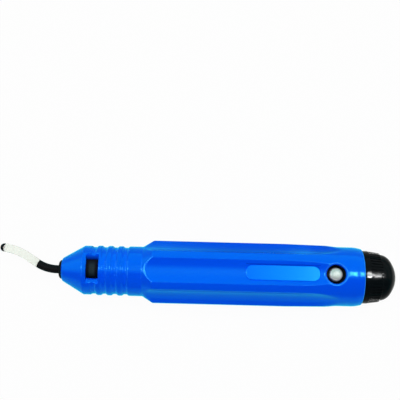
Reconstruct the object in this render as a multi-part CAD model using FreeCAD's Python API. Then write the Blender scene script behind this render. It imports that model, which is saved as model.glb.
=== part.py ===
import FreeCAD, Part
import math
import os

# A hand deburring tool: a fluted handle that holds a bent swivelling blade, with a keyhole
# lock under a thumb button, and a blade magazine that pulls out of the rear with the end cap.
# Lengths are millimetres. The model is built about the X axis with x = 0 at the front face of
# the nose bush, the blade towards -X and the button towards +Z, and is moved at the end so
# that the origin lies under the middle of the whole tool, on the surface that it rests on.

# ---- clearances -------------------------------------------------------------------------
RUNNING_FIT = 0.05          # radial, a turning shank in its bush and in the latch
GUIDE_FIT = 0.15            # each side, plastic that slides in plastic
STOP_GAP = 0.1              # between a sprung piece and the stop that it rests under
SEAM_GAP = 0.3              # between the end cap and the body
END_FLOAT = 0.2             # between the shank's end and its thrust face

# ---- handle body ------------------------------------------------------------------------
BODY_LENGTH = 116.8         # from the nose bush face to the rear edge
NOSE_FRONT_R = 4.37
NOSE_ROUND = 1.2
NOSE_CONE_LENGTH = 8.7
RING_R = 9.45               # plain ring behind the nose cone
NECK_R = 9.6
NECK_LENGTH = 22.6          # from the end of the nose cone to the shoulder
GROOVES = 4
GROOVE_FIRST = 4.0          # from the end of the nose cone to the first groove's middle
GROOVE_PITCH = 4.03
GROOVE_WIDTH = 2.6
GROOVE_FLOOR = 1.2
GROOVE_DEPTH = 0.55
SHOULDER_LENGTH = 4.1
SHOULDER_ROUND = 1.2
BARREL_R = 12.12            # over the lands between the flutes
TAPER_LENGTH = 15.5         # slow taper behind the lands
TAPER_R = 11.82
RUN_IN_LENGTH = 4.2         # quicker taper down to the rear cylinder
REAR_R = 11.42              # plain cylinder that a collar can hold
REAR_LENGTH = 9.4           # the cylinder and the rounded rear edge together
REAR_EDGE_LENGTH = 2.6      # slight taper in front of the rear edge
REAR_EDGE_R = 10.9

# ---- flutes -----------------------------------------------------------------------------
FLUTES = 6
FLUTE_R = 11.2              # radius of the hollow
FLUTE_FLOOR_R = 10.2        # distance of its lowest line from the axis
FLUTE_FADE_LENGTH = 21.8    # from where the hollow starts to run out to the rear edge
FLUTE_FADE_R = 60.0         # radius on which the cutter's middle lifts away
FLUTE_FADE_TURN = 3.6       # degrees of that curve from one straight hollow to the next
FLUTE_FADE_STEPS = 3

# ---- bare recess in the top flute -------------------------------------------------------
PANEL_FROM_REAR = 16.7      # from the recess to the rear edge
PANEL_LENGTH = 28.5
PANEL_WIDTH = 5.6
PANEL_DEPTH = 0.3           # below the flute's lowest line
PANEL_CORNER_R = 2.5

# ---- blade ------------------------------------------------------------------------------
SHANK_R = 1.6
SHANK_INSERTED = 23.8
SHANK_CHAMFER = 0.4
BEND_X = -5.25              # corner of the first bend
BEND_ANGLE = 32.3
BEND_R = 10.0
HOOK_LENGTH = 13.5          # from the first corner to the second
HOOK_ANGLE = 24.3
HOOK_R = 22.0
TIP_LENGTH = 5.4            # from the second corner to the middle of the round tip
GROUND_START = 3.75         # from the first corner to the start of the ground face
GROUND_START_ANGLE = 25.0   # which way that start faces
GROUND_HEIGHT = 0.3         # of the ground face above the blade's middle
TIP_LEFT = 1.15             # of the tip's length that the grinding wheel leaves
GRINDING_WHEEL_R = 1.9      # rounds the end of the ground face
LOCK_GROOVE_X = 13.55
LOCK_GROOVE_WIDTH = 1.3
LOCK_GROOVE_DEPTH = 0.45

# ---- nose bush and shank bush -----------------------------------------------------------
BUSH_FLANGE_R = 3.65
BUSH_FLANGE_FACE_R = 3.05
BUSH_FLANGE_LENGTH = 1.1
BUSH_CHAMFER_LENGTH = 0.6
BUSH_BODY_R = 2.8
SHANK_BUSH_R = 3.0
SHANK_BUSH_LENGTH = 14.0

# ---- window and lock bay ----------------------------------------------------------------
WINDOW_LENGTH = 4.7
WINDOW_WIDTH = 7.2
SCOOP_R = 9.9               # hollow beside the window that lets the thumb reach down
SCOOP_FLOOR = 6.0           # height of its lowest line above the axis
BAY_LENGTH = 6.0
BAY_WIDTH = 8.6
BAY_ROOF = 5.4
BAY_FLOOR = -5.4
SPRING_POCKET_R = 2.3
SPRING_POCKET_DEPTH = 2.0

# ---- lock button, latch plate and spring ------------------------------------------------
BUTTON_TOP = 8.1
BUTTON_CROWN = 0.7
BUTTON_CORNER_R = 0.6
BUTTON_TRAVEL = 1.5
FLANGE_THICKNESS = 0.8
FLANGE_WIDTH = 8.2
STEM_LENGTH = 3.0
STEM_WIDTH = 6.8
STEM_BOTTOM = 3.5
PLATE_THICKNESS = 1.2
PLATE_WIDTH = 6.4
PLATE_TONGUE_TOP = 5.1
PLATE_HOLE_R = 1.7
PLATE_FOOT_TOP = -2.9
PLATE_FOOT_THICKNESS = 0.8
PLATE_FOOT_LENGTH = 4.4
PLATE_FOOT_WIDTH = 4.8
LOCK_WIRE_R = 0.2
LOCK_COIL_R = 1.8
LOCK_TURNS = 4.0
COIL_STEPS = 8              # straight lengths of wire in one turn of either spring
WIRE_SIDES = 6

# ---- magazine ---------------------------------------------------------------------------
MAGAZINE_BORE_R = 8.35
MAGAZINE_BORE_SPARE = 2.0   # room in front of the tray
TRAY_LENGTH = 51.3          # the trough with its end wall
TRAY_WALL = 1.2
TRAY_END_WALL = 1.5
TRAY_RIM = 1.0              # height of the open edge above the axis
SPIGOT_LENGTH = 19.8        # solid rear part of the tray that carries the catch
STUD_R = 6.0
STUD_LENGTH = 5.0

# ---- catch ------------------------------------------------------------------------------
CATCH_FROM_REAR = 10.95
CATCH_HOLE_R = 3.65
CATCH_SINK_R = 4.3
CATCH_COLLAR_R = 3.45
CATCH_COLLAR_BOTTOM = 6.2
CATCH_PIN_R = 2.52
CATCH_PIN_TOP = 10.0
CATCH_CROWN_R = 1.3
CATCH_SHOULDER = 0.55       # height of the pin's sloping shoulder
CATCH_FLANGE_R = 3.2
CATCH_FLANGE_THICKNESS = 0.9
CATCH_TRAVEL = 1.2
CATCH_WELL_BOTTOM = 0.8
CATCH_WIRE_R = 0.22
CATCH_COIL_R = 2.3
CATCH_TURNS = 5.0

# ---- end cap ----------------------------------------------------------------------------
CAP_COLLAR_R = 10.2
CAP_COLLAR_LENGTH = 2.1
CAP_TAPER_LENGTH = 7.6      # from the collar to the corner that the dome rounds
CAP_TAPER_R = 8.45
CAP_DOME_ROUND = 5.0
CAP_CROWN_LENGTH = 3.5      # from that corner to the end
CAP_CROWN_R = 3.4
CAP_CROWN_ROUND = 11.0
CAP_RIBS = 48
CAP_RIB_LENGTH = 4.8        # from the collar to the ribs' ends
CAP_RIB_R = 10.1            # over the ribs beside the collar
CAP_RIB_END_R = 9.42        # over their ends
CAP_RIB_DEPTH = 0.3         # of the gullets beside the collar
CAP_RIB_STEP = 0.42         # from the ribs' ends down to the dome
CAP_RIB_SHARE = 0.52        # of a rib's pitch that the gullet beside it takes at the collar

# ---- how finely rounds are turned -------------------------------------------------------
ROUND_STEP = 30.0           # degrees of a rounding in one short cone

# ---- worked out from the sizes above ----------------------------------------------------
CONE_END = BUSH_FLANGE_LENGTH + NOSE_CONE_LENGTH
SHOULDER_X = CONE_END + NECK_LENGTH
SHOULDER_END = SHOULDER_X + SHOULDER_LENGTH
REAR_X = BODY_LENGTH - REAR_LENGTH
TAPER_END = REAR_X - RUN_IN_LENGTH
BARREL_END = TAPER_END - TAPER_LENGTH
FLUTE_AXIS_R = FLUTE_FLOOR_R + FLUTE_R
FLUTE_FADE_X = BODY_LENGTH - FLUTE_FADE_LENGTH
PANEL_X = BODY_LENGTH - PANEL_FROM_REAR - PANEL_LENGTH
PANEL_FLOOR = FLUTE_FLOOR_R - PANEL_DEPTH
CAP_X = BODY_LENGTH + SEAM_GAP
TRAY_R = MAGAZINE_BORE_R - GUIDE_FIT
SPIGOT_X = CAP_X - SPIGOT_LENGTH
TRAY_X = SPIGOT_X - TRAY_LENGTH
MAGAZINE_BORE_X = TRAY_X - MAGAZINE_BORE_SPARE
CATCH_X = BODY_LENGTH - CATCH_FROM_REAR
BAY_X = LOCK_GROOVE_X - BAY_LENGTH / 2
BAY_END = BAY_X + BAY_LENGTH
LATCH_SLOT_R = SHANK_R - LOCK_GROOVE_DEPTH + RUNNING_FIT
CATCH_PIN_BOTTOM = CATCH_COLLAR_BOTTOM - STOP_GAP - CATCH_FLANGE_THICKNESS
FAR = 60.0                  # longer than any wall that a cutter goes through

V = FreeCAD.Vector
X_AXIS = V(1, 0, 0)
Z_AXIS = V(0, 0, 1)


# ---- helpers ----------------------------------------------------------------------------
def tangent_arc(before, here, after, radius, room_before, room_after):
    """The arc that rounds a corner: where it enters, its middle, and where it leaves."""
    back = (before - here).normalize()
    onward = (after - here).normalize()
    half_angle = back.getAngle(onward) / 2
    reach = min(radius / math.tan(half_angle), room_before, room_after)
    radius = reach * math.tan(half_angle)
    inward = (back + onward).normalize()
    middle = here + inward * (radius / math.sin(half_angle) - radius)
    return here + back * reach, middle, here + onward * reach


def corner_arcs(corners):
    """The start, one arc or plain point for each corner, and the end of a rounded line."""
    last = len(corners) - 1
    stations = [corners[0][0]]
    for index in range(1, last):
        before, (here, radius), after = corners[index - 1][0], corners[index], corners[index + 1][0]
        if radius > 0:
            room_before = before.distanceToPoint(here) / (1 if index == 1 else 2)
            room_after = after.distanceToPoint(here) / (1 if index == last - 1 else 2)
            stations.append(tangent_arc(before, here, after, radius, room_before, room_after))
        else:
            stations.append(here)
    stations.append(corners[last][0])
    return stations


def rounded_path(corners):
    """A wire of straight runs and true tangent arcs. Each corner is (point, radius)."""
    edges = []
    start = corners[0][0]
    for station in corner_arcs(corners)[1:]:
        is_arc = isinstance(station, tuple)
        end = station[0] if is_arc else station
        if end.distanceToPoint(start) > 1e-4:
            edges.append(Part.LineSegment(start, end).toShape())
        if is_arc:
            edges.append(Part.Arc(*station).toShape())
            end = station[2]
        start = end
    return Part.Wire(edges)


def turned(profile):
    """A solid turned about the X axis from (x, radius, rounding) corners, axis to axis.

    A rounding is turned as short cones, each one ROUND_STEP of the curve or less.
    """
    points = []
    for station in corner_arcs([(V(x, 0, r), rounding) for x, r, rounding in profile]):
        if isinstance(station, tuple):
            curve = Part.Arc(*station).toShape()
            turn = curve.tangentAt(curve.FirstParameter).getAngle(curve.tangentAt(curve.LastParameter))
            count = max(2, math.ceil(math.degrees(turn) / ROUND_STEP) + 1)
            points += curve.discretize(Number=count)
        else:
            points.append(station)
    outline = [points[0]]
    for point in points[1:]:
        if point.distanceToPoint(outline[-1]) > 1e-4:
            outline.append(point)
    face = Part.Face(Part.makePolygon(outline + [outline[0]]))
    return face.revolve(V(0, 0, 0), X_AXIS, 360)


def rod(x_start, x_end, radius):
    """A cylinder on the X axis."""
    return Part.makeCylinder(radius, x_end - x_start, V(x_start, 0, 0), X_AXIS)


def post(x, z_bottom, z_top, radius):
    """An upright cylinder on the tool's middle plane."""
    return Part.makeCylinder(radius, z_top - z_bottom, V(x, 0, z_bottom), Z_AXIS)


def block(x_middle, length, width, z_bottom, z_top):
    """A box centred on x_middle and on the tool's middle plane."""
    corner = V(x_middle - length / 2, -width / 2, z_bottom)
    return Part.makeBox(length, width, z_top - z_bottom, corner)


def upright_edges(shape):
    """The straight edges of a shape that run along Z."""
    found = []
    for edge in shape.Edges:
        ends = edge.Vertexes
        if len(ends) == 2:
            run = ends[1].Point - ends[0].Point
            if abs(run.x) < 1e-6 and abs(run.y) < 1e-6:
                found.append(edge)
    return found


def coil_spring(x, z_bottom, z_top, coil_r, wire_r, turns):
    """A compression spring that stands on z_bottom and carries z_top."""
    lift = z_top - z_bottom - 2 * wire_r
    steps = int(turns * COIL_STEPS)
    rings = []
    for step in range(steps + 1):
        ring = []
        for side in range(WIRE_SIDES + 1):
            around = 2 * math.pi * side / WIRE_SIDES
            ring.append(V(coil_r + wire_r * math.cos(around), 0, wire_r * math.sin(around)))
        section = Part.makePolygon(ring)
        section.rotate(V(0, 0, 0), Z_AXIS, 360 * step / COIL_STEPS)
        section.translate(V(x, 0, z_bottom + wire_r + lift * step / steps))
        rings.append(section)
    return Part.makeLoft(rings, True, True)


# ---- handle body ------------------------------------------------------------------------
def body_blank():
    """The turned outside of the handle: nose, grooved neck, shoulder, barrel and rear."""
    profile = [
        (BUSH_FLANGE_LENGTH, 0, 0),
        (BUSH_FLANGE_LENGTH, NOSE_FRONT_R, NOSE_ROUND),
        (CONE_END, RING_R, 0),
    ]
    crest_r = RING_R
    for number in range(GROOVES):
        middle = CONE_END + GROOVE_FIRST + number * GROOVE_PITCH
        floor_r = NECK_R - GROOVE_DEPTH
        profile.append((middle - GROOVE_WIDTH / 2, crest_r, 0))
        profile.append((middle - GROOVE_FLOOR / 2, floor_r, 0))
        profile.append((middle + GROOVE_FLOOR / 2, floor_r, 0))
        profile.append((middle + GROOVE_WIDTH / 2, NECK_R, 0))
        crest_r = NECK_R
    profile += [
        (SHOULDER_X, NECK_R, 0),
        (SHOULDER_END, BARREL_R, SHOULDER_ROUND),
        (BARREL_END, BARREL_R, 0),
        (TAPER_END, TAPER_R, 0),
        (REAR_X, REAR_R, 0),
        (BODY_LENGTH - REAR_EDGE_LENGTH, REAR_R, 0),
        (BODY_LENGTH, REAR_EDGE_R, 0),
        (BODY_LENGTH, 0, 0),
    ]
    return turned(profile)


def flute_cutter():
    """One flute: what a straight hollow and the tilted hollows that run it out have in common."""
    pivot = V(FLUTE_FADE_X, 0, FLUTE_AXIS_R + FLUTE_FADE_R)
    front = SHOULDER_X - FLUTE_R / 2
    length = BODY_LENGTH + FAR
    cutter = Part.makeCylinder(FLUTE_R, length, V(front, 0, FLUTE_AXIS_R), X_AXIS)
    for step in range(1, FLUTE_FADE_STEPS + 1):
        tilt = math.radians(FLUTE_FADE_TURN * step)
        middle = pivot + V(math.sin(tilt), 0, -math.cos(tilt)) * FLUTE_FADE_R
        direction = V(math.cos(tilt), 0, math.sin(tilt))
        tilted = Part.makeCylinder(FLUTE_R, 2 * length, middle - direction * length, direction)
        cutter = cutter.common(tilted)
    return cutter


def panel_cutter():
    """The bare recess for a label, with rounded ends, in the top flute."""
    middle = PANEL_X + PANEL_LENGTH / 2
    panel = block(middle, PANEL_LENGTH, PANEL_WIDTH, PANEL_FLOOR, PANEL_FLOOR + FLUTE_R)
    return panel.makeFillet(min(PANEL_CORNER_R, PANEL_WIDTH * 0.49), upright_edges(panel))


def lock_bay_cutter():
    """The window, the thumb scoop beside it, the bay under it and the spring's pocket."""
    window = block(LOCK_GROOVE_X, WINDOW_LENGTH, WINDOW_WIDTH, 0, FAR)
    scoop_x = LOCK_GROOVE_X - WINDOW_LENGTH / 2
    scoop_middle = V(scoop_x, 0, SCOOP_FLOOR + SCOOP_R)
    scoop = Part.makeCylinder(SCOOP_R, WINDOW_LENGTH, scoop_middle, X_AXIS)
    bay = block(LOCK_GROOVE_X, BAY_LENGTH, BAY_WIDTH, BAY_FLOOR, BAY_ROOF)
    pocket_floor = BAY_FLOOR - SPRING_POCKET_DEPTH
    pocket = post(LOCK_GROOVE_X, pocket_floor, 0, SPRING_POCKET_R)
    return window.fuse([scoop, bay, pocket])


def catch_cutter():
    """The catch's hole with its sunk rim, and the channel that leads the pin out."""
    hole = post(CATCH_X, 0, FAR, CATCH_HOLE_R)
    depth = CATCH_SINK_R - CATCH_HOLE_R
    sink_bottom = V(CATCH_X, 0, REAR_R - depth)
    sink = Part.makeCone(CATCH_HOLE_R, CATCH_SINK_R + depth, 2 * depth, sink_bottom, Z_AXIS)
    run = BODY_LENGTH - CATCH_X + 1
    width = 2 * (CATCH_PIN_R + GUIDE_FIT)
    channel = block(CATCH_X + run / 2, run, width, 0, FAR)
    channel = channel.common(rod(CATCH_X, CATCH_X + run, CATCH_PIN_TOP + STOP_GAP))
    return hole.fuse([sink, channel])


def make_handle_body():
    flutes = []
    for number in range(FLUTES):
        cutter = flute_cutter()
        cutter.rotate(V(0, 0, 0), X_AXIS, number * 360 / FLUTES)
        flutes.append(cutter)
    bores = [
        rod(0, BAY_END, BUSH_BODY_R),
        rod(BAY_END, MAGAZINE_BORE_X, SHANK_BUSH_R),
        rod(MAGAZINE_BORE_X, BODY_LENGTH + 1, MAGAZINE_BORE_R),
    ]
    body = body_blank().cut(flutes)
    body = body.cut(bores)
    return body.cut([panel_cutter(), lock_bay_cutter(), catch_cutter()])


# ---- bushes -----------------------------------------------------------------------------
def make_nose_bush():
    bush = turned([
        (0, 0, 0),
        (0, BUSH_FLANGE_FACE_R, 0),
        (BUSH_CHAMFER_LENGTH, BUSH_FLANGE_R, 0),
        (BUSH_FLANGE_LENGTH, BUSH_FLANGE_R, 0),
        (BUSH_FLANGE_LENGTH, BUSH_BODY_R, 0),
        (BAY_X, BUSH_BODY_R, 0),
        (BAY_X, 0, 0),
    ])
    return bush.cut(rod(-1, BAY_X + 1, SHANK_R + RUNNING_FIT))


def make_shank_bush():
    """The rear bush of the shank. Its bore is blind, and its floor takes the thrust."""
    bush = rod(BAY_END, BAY_END + SHANK_BUSH_LENGTH, SHANK_BUSH_R)
    thrust_x = SHANK_INSERTED + END_FLOAT
    return bush.cut(rod(BAY_END - 1, thrust_x, SHANK_R + RUNNING_FIT))


# ---- blade ------------------------------------------------------------------------------
def blade_point(corner, angle, distance):
    """The point at a distance from a corner, in a direction turned from -X towards +Y."""
    radians = math.radians(angle)
    step = V(-math.cos(radians), math.sin(radians), 0)
    return corner + step * distance


def half_space(start, angle):
    """A deep block above the ground face, from a start point onward in a blade direction."""
    cutter = Part.makeBox(FAR, FAR, FAR, V(0, -FAR / 2, GROUND_HEIGHT))
    cutter.rotate(V(0, 0, 0), Z_AXIS, 180 - angle)
    cutter.translate(start)
    return cutter


def ground_face_cutter(first_corner, tip):
    """What the grinding wheel takes off the top of the blade, from the bend to the tip."""
    tip_angle = BEND_ANGLE - HOOK_ANGLE
    cutter = half_space(blade_point(first_corner, BEND_ANGLE, GROUND_START), GROUND_START_ANGLE)
    wheel_middle = blade_point(tip, tip_angle, SHANK_R - TIP_LEFT - GRINDING_WHEEL_R)
    wheel = Part.makeCylinder(GRINDING_WHEEL_R, FAR, wheel_middle, Z_AXIS)
    left = half_space(wheel_middle, tip_angle).cut(wheel)
    return cutter.cut(left)


def round_tip(tip):
    """The domed end of the blade, on its last direction."""
    dome = turned([
        (0, 0, 0),
        (0, SHANK_R, 0),
        (SHANK_R, SHANK_R, SHANK_R),
        (SHANK_R, 0, 0),
    ])
    dome.rotate(V(0, 0, 0), Z_AXIS, 180 - BEND_ANGLE + HOOK_ANGLE)
    dome.translate(tip)
    return dome


def make_blade():
    shank_end = V(SHANK_INSERTED, 0, 0)
    first = V(BEND_X, 0, 0)
    second = blade_point(first, BEND_ANGLE, HOOK_LENGTH)
    tip = blade_point(second, BEND_ANGLE - HOOK_ANGLE, TIP_LENGTH)
    path = rounded_path([(shank_end, 0), (first, BEND_R), (second, HOOK_R), (tip, 0)])
    section = Part.Wire([Part.makeCircle(SHANK_R, shank_end, X_AXIS)])
    blade = path.makePipeShell([section], True, False)
    blade = blade.fuse(round_tip(tip))
    end_edges = [e for e in blade.Edges if e.CenterOfMass.distanceToPoint(shank_end) < 0.01]
    blade = blade.makeChamfer(SHANK_CHAMFER, end_edges)
    groove_x = LOCK_GROOVE_X - LOCK_GROOVE_WIDTH / 2
    groove = rod(groove_x, groove_x + LOCK_GROOVE_WIDTH, SHANK_R + 1)
    groove = groove.cut(rod(groove_x - 1, groove_x + 3, SHANK_R - LOCK_GROOVE_DEPTH))
    return blade.cut([groove, ground_face_cutter(first, tip)])


# ---- lock -------------------------------------------------------------------------------
def make_lock_button():
    """The thumb button: a crowned pad, a flange that stops under the roof, and a stem."""
    length = WINDOW_LENGTH - 2 * GUIDE_FIT
    width = WINDOW_WIDTH - 2 * GUIDE_FIT
    flange_top = BAY_ROOF - STOP_GAP
    flange_bottom = flange_top - FLANGE_THICKNESS
    pad = block(LOCK_GROOVE_X, length, width, flange_bottom, BUTTON_TOP + 1)
    pad = pad.makeFillet(BUTTON_CORNER_R, upright_edges(pad))
    crown_r = (width ** 2 / 4 + BUTTON_CROWN ** 2) / (2 * BUTTON_CROWN)
    crown_middle = V(LOCK_GROOVE_X - length, 0, BUTTON_TOP - crown_r)
    pad = pad.common(Part.makeCylinder(crown_r, 2 * length, crown_middle, X_AXIS))
    flange = block(LOCK_GROOVE_X, length, FLANGE_WIDTH, flange_bottom, flange_top)
    stem = block(LOCK_GROOVE_X, STEM_LENGTH, STEM_WIDTH, STEM_BOTTOM, flange_bottom)
    slot = block(LOCK_GROOVE_X, PLATE_THICKNESS, PLATE_WIDTH, STEM_BOTTOM, PLATE_TONGUE_TOP)
    return pad.fuse([flange, stem]).cut(slot).removeSplitter()


def make_latch_plate():
    """The keyhole plate: its narrow slot sits in the shank's groove until the hole comes down."""
    foot_bottom = PLATE_FOOT_TOP - PLATE_FOOT_THICKNESS
    plate = block(LOCK_GROOVE_X, PLATE_THICKNESS, PLATE_WIDTH, foot_bottom, PLATE_TONGUE_TOP)
    foot = block(LOCK_GROOVE_X, PLATE_FOOT_LENGTH, PLATE_FOOT_WIDTH, foot_bottom, PLATE_FOOT_TOP)
    plate = plate.fuse(foot)
    slot_end = rod(BAY_X, BAY_END, LATCH_SLOT_R)
    slot = block(LOCK_GROOVE_X, BAY_LENGTH, 2 * LATCH_SLOT_R, 0, BUTTON_TRAVEL)
    hole = rod(BAY_X, BAY_END, PLATE_HOLE_R)
    hole.translate(V(0, 0, BUTTON_TRAVEL))
    return plate.cut([slot_end, slot, hole]).removeSplitter()


def make_lock_spring():
    bottom = BAY_FLOOR - SPRING_POCKET_DEPTH
    top = PLATE_FOOT_TOP - PLATE_FOOT_THICKNESS
    return coil_spring(LOCK_GROOVE_X, bottom, top, LOCK_COIL_R, LOCK_WIRE_R, LOCK_TURNS)


# ---- magazine ---------------------------------------------------------------------------
def make_magazine_tray():
    """An open trough for spare blades in front of a solid spigot with the catch's well."""
    tray = rod(TRAY_X, CAP_X, TRAY_R).fuse(rod(CAP_X, CAP_X + STUD_LENGTH, STUD_R))
    hollow_x = TRAY_X + TRAY_END_WALL
    hollow = rod(hollow_x, SPIGOT_X, TRAY_R - TRAY_WALL)
    middle = (TRAY_X + SPIGOT_X) / 2
    open_top = block(middle, SPIGOT_X - TRAY_X, FAR, TRAY_RIM, FAR)
    well = post(CATCH_X, CATCH_WELL_BOTTOM, FAR, CATCH_COLLAR_R)
    return tray.cut([hollow, open_top, well])


def make_end_cap():
    """The ribbed end cap. Its socket is pressed on the tray's stud."""
    collar_end = CAP_X + CAP_COLLAR_LENGTH
    rib_end = collar_end + CAP_RIB_LENGTH
    corner_x = collar_end + CAP_TAPER_LENGTH
    end_x = corner_x + CAP_CROWN_LENGTH
    dome_r = CAP_RIB_END_R - CAP_RIB_STEP
    cap = turned([
        (CAP_X, 0, 0),
        (CAP_X, CAP_COLLAR_R, 0),
        (collar_end, CAP_COLLAR_R, 0),
        (collar_end, CAP_RIB_R, 0),
        (rib_end - CAP_RIB_STEP / 2, CAP_RIB_END_R, 0),
        (rib_end, dome_r, 0),
        (corner_x, CAP_TAPER_R, CAP_DOME_ROUND),
        (end_x, CAP_CROWN_R, CAP_CROWN_ROUND),
        (end_x, 0, 0),
    ])
    root = V(collar_end, 0, CAP_RIB_R - CAP_RIB_DEPTH)
    along = V(CAP_RIB_LENGTH, 0, dome_r - root.z)
    half_width = CAP_RIB_SHARE * math.pi * CAP_RIB_R / CAP_RIBS
    sides = [root + V(0, side * half_width * 2, CAP_RIB_DEPTH * 2) for side in (-1, 1)]
    wedge = Part.Face(Part.makePolygon([root, sides[0], sides[1], root])).extrude(along)
    gullets = []
    for number in range(CAP_RIBS):
        gullet = wedge.copy()
        gullet.rotate(V(0, 0, 0), X_AXIS, (number + 0.5) * 360 / CAP_RIBS)
        gullets.append(gullet)
    socket = rod(CAP_X, CAP_X + STUD_LENGTH, STUD_R)
    return cap.cut(gullets).cut(socket).removeSplitter()


# ---- catch ------------------------------------------------------------------------------
def make_catch_collar():
    """The ring that keeps the pin in its well, flush with the spigot."""
    ring = post(CATCH_X, CATCH_COLLAR_BOTTOM, FAR, CATCH_COLLAR_R)
    ring = ring.common(rod(SPIGOT_X, CAP_X, TRAY_R))
    return ring.cut(post(CATCH_X, 0, FAR, CATCH_PIN_R + RUNNING_FIT))


def make_catch_pin():
    """The steel pin with its low crown, and the flange that stops under the collar."""
    shoulder_z = CATCH_PIN_TOP - CATCH_SHOULDER
    pin = post(CATCH_X, CATCH_PIN_BOTTOM, shoulder_z, CATCH_PIN_R)
    base = V(CATCH_X, 0, shoulder_z)
    crown = Part.makeCone(CATCH_PIN_R, CATCH_CROWN_R, CATCH_SHOULDER, base, Z_AXIS)
    pin = pin.fuse(crown)
    flange_top = CATCH_PIN_BOTTOM + CATCH_FLANGE_THICKNESS
    flange = post(CATCH_X, CATCH_PIN_BOTTOM, flange_top, CATCH_FLANGE_R)
    return pin.fuse(flange)


def make_catch_spring():
    top = CATCH_PIN_BOTTOM
    bottom = CATCH_WELL_BOTTOM
    return coil_spring(CATCH_X, bottom, top, CATCH_COIL_R, CATCH_WIRE_R, CATCH_TURNS)


# ---- the whole tool ---------------------------------------------------------------------
MAKERS = {
    "handle_body": make_handle_body,
    "nose_bush": make_nose_bush,
    "shank_bush": make_shank_bush,
    "blade": make_blade,
    "lock_button": make_lock_button,
    "latch_plate": make_latch_plate,
    "lock_spring": make_lock_spring,
    "magazine_tray": make_magazine_tray,
    "end_cap": make_end_cap,
    "catch_collar": make_catch_collar,
    "catch_pin": make_catch_pin,
    "catch_spring": make_catch_spring,
}

os.makedirs("parts", exist_ok=True)
shapes = {node: make() for node, make in MAKERS.items()}
blade_tip_x = shapes["blade"].optimalBoundingBox(False).XMin
cap_end_x = shapes["end_cap"].optimalBoundingBox(False).XMax
lowest_z = shapes["handle_body"].optimalBoundingBox(False).ZMin
to_rest = V(-(blade_tip_x + cap_end_x) / 2, 0, -lowest_z)
for node, shape in shapes.items():
    shape.translate(to_rest)
    shape.exportStep("parts/" + node + ".step")
    box = shape.optimalBoundingBox(False)
    solids = len(shape.Solids)
    print("%-14s solids %d valid %s volume %9.2f" % (node, solids, shape.isValid(), shape.Volume))
    print("    x %.3f..%.3f  y %.3f..%.3f  z %.3f..%.3f"
          % (box.XMin, box.XMax, box.YMin, box.YMax, box.ZMin, box.ZMax))
print("moved to rest by %.4f 0 %.4f" % (to_rest.x, to_rest.z))
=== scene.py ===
"""A hand deburring tool: its surfaces, finishes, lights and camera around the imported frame."""

import math

import bmesh
import bpy
import numpy as np
from mathutils import Matrix, Vector


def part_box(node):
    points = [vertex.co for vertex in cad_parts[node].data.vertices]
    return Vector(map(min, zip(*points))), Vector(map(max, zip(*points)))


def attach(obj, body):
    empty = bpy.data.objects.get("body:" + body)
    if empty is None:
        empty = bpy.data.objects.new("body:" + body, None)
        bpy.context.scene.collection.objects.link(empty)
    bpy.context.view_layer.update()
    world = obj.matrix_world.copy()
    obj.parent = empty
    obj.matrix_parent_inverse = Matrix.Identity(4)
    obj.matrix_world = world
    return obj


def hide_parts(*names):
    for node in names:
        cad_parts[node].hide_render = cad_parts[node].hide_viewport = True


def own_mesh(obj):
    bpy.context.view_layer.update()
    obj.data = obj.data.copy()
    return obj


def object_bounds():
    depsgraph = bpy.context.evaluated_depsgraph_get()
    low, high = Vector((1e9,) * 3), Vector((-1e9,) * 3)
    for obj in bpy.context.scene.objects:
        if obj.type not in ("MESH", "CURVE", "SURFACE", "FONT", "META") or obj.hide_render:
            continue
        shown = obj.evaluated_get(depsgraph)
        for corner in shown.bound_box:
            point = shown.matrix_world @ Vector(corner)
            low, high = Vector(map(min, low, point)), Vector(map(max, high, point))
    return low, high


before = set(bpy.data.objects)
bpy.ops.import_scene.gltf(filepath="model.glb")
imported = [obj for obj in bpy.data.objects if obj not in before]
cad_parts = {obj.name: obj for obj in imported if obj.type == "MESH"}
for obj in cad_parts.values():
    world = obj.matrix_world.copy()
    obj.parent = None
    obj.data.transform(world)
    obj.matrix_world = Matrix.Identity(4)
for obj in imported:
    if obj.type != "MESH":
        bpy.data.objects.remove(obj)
cad_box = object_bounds()

# ---- places in the frame ------------------------------------------------------------------
# Shapes are worked out in millimetres about the handle's axis, with x = 0 at the front of the
# nose bush, z up out of the thumb button and y to the side that the blade bends to.
MM = 0.001
BUSH_LOW, BUSH_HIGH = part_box("nose_bush")
BODY_LOW, BODY_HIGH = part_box("handle_body")
CAP_LOW, CAP_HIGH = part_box("end_cap")
TRAY_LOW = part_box("magazine_tray")[0]
BLADE_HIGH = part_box("blade")[1]
PIN_LOW, PIN_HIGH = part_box("catch_pin")
COLLAR_LOW, COLLAR_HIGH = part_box("catch_collar")
BUTTON_LOW, BUTTON_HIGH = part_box("lock_button")
AXIS = Vector((BUSH_LOW.x, 0, (BUSH_LOW.z + BUSH_HIGH.z) / 2))


def along(place):
    """A place in the frame as millimetres behind the nose bush's front face."""
    return (place.x - AXIS.x) / MM


def above_axis(place):
    """A place in the frame as millimetres above the handle's axis."""
    return (place.z - AXIS.z) / MM


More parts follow.
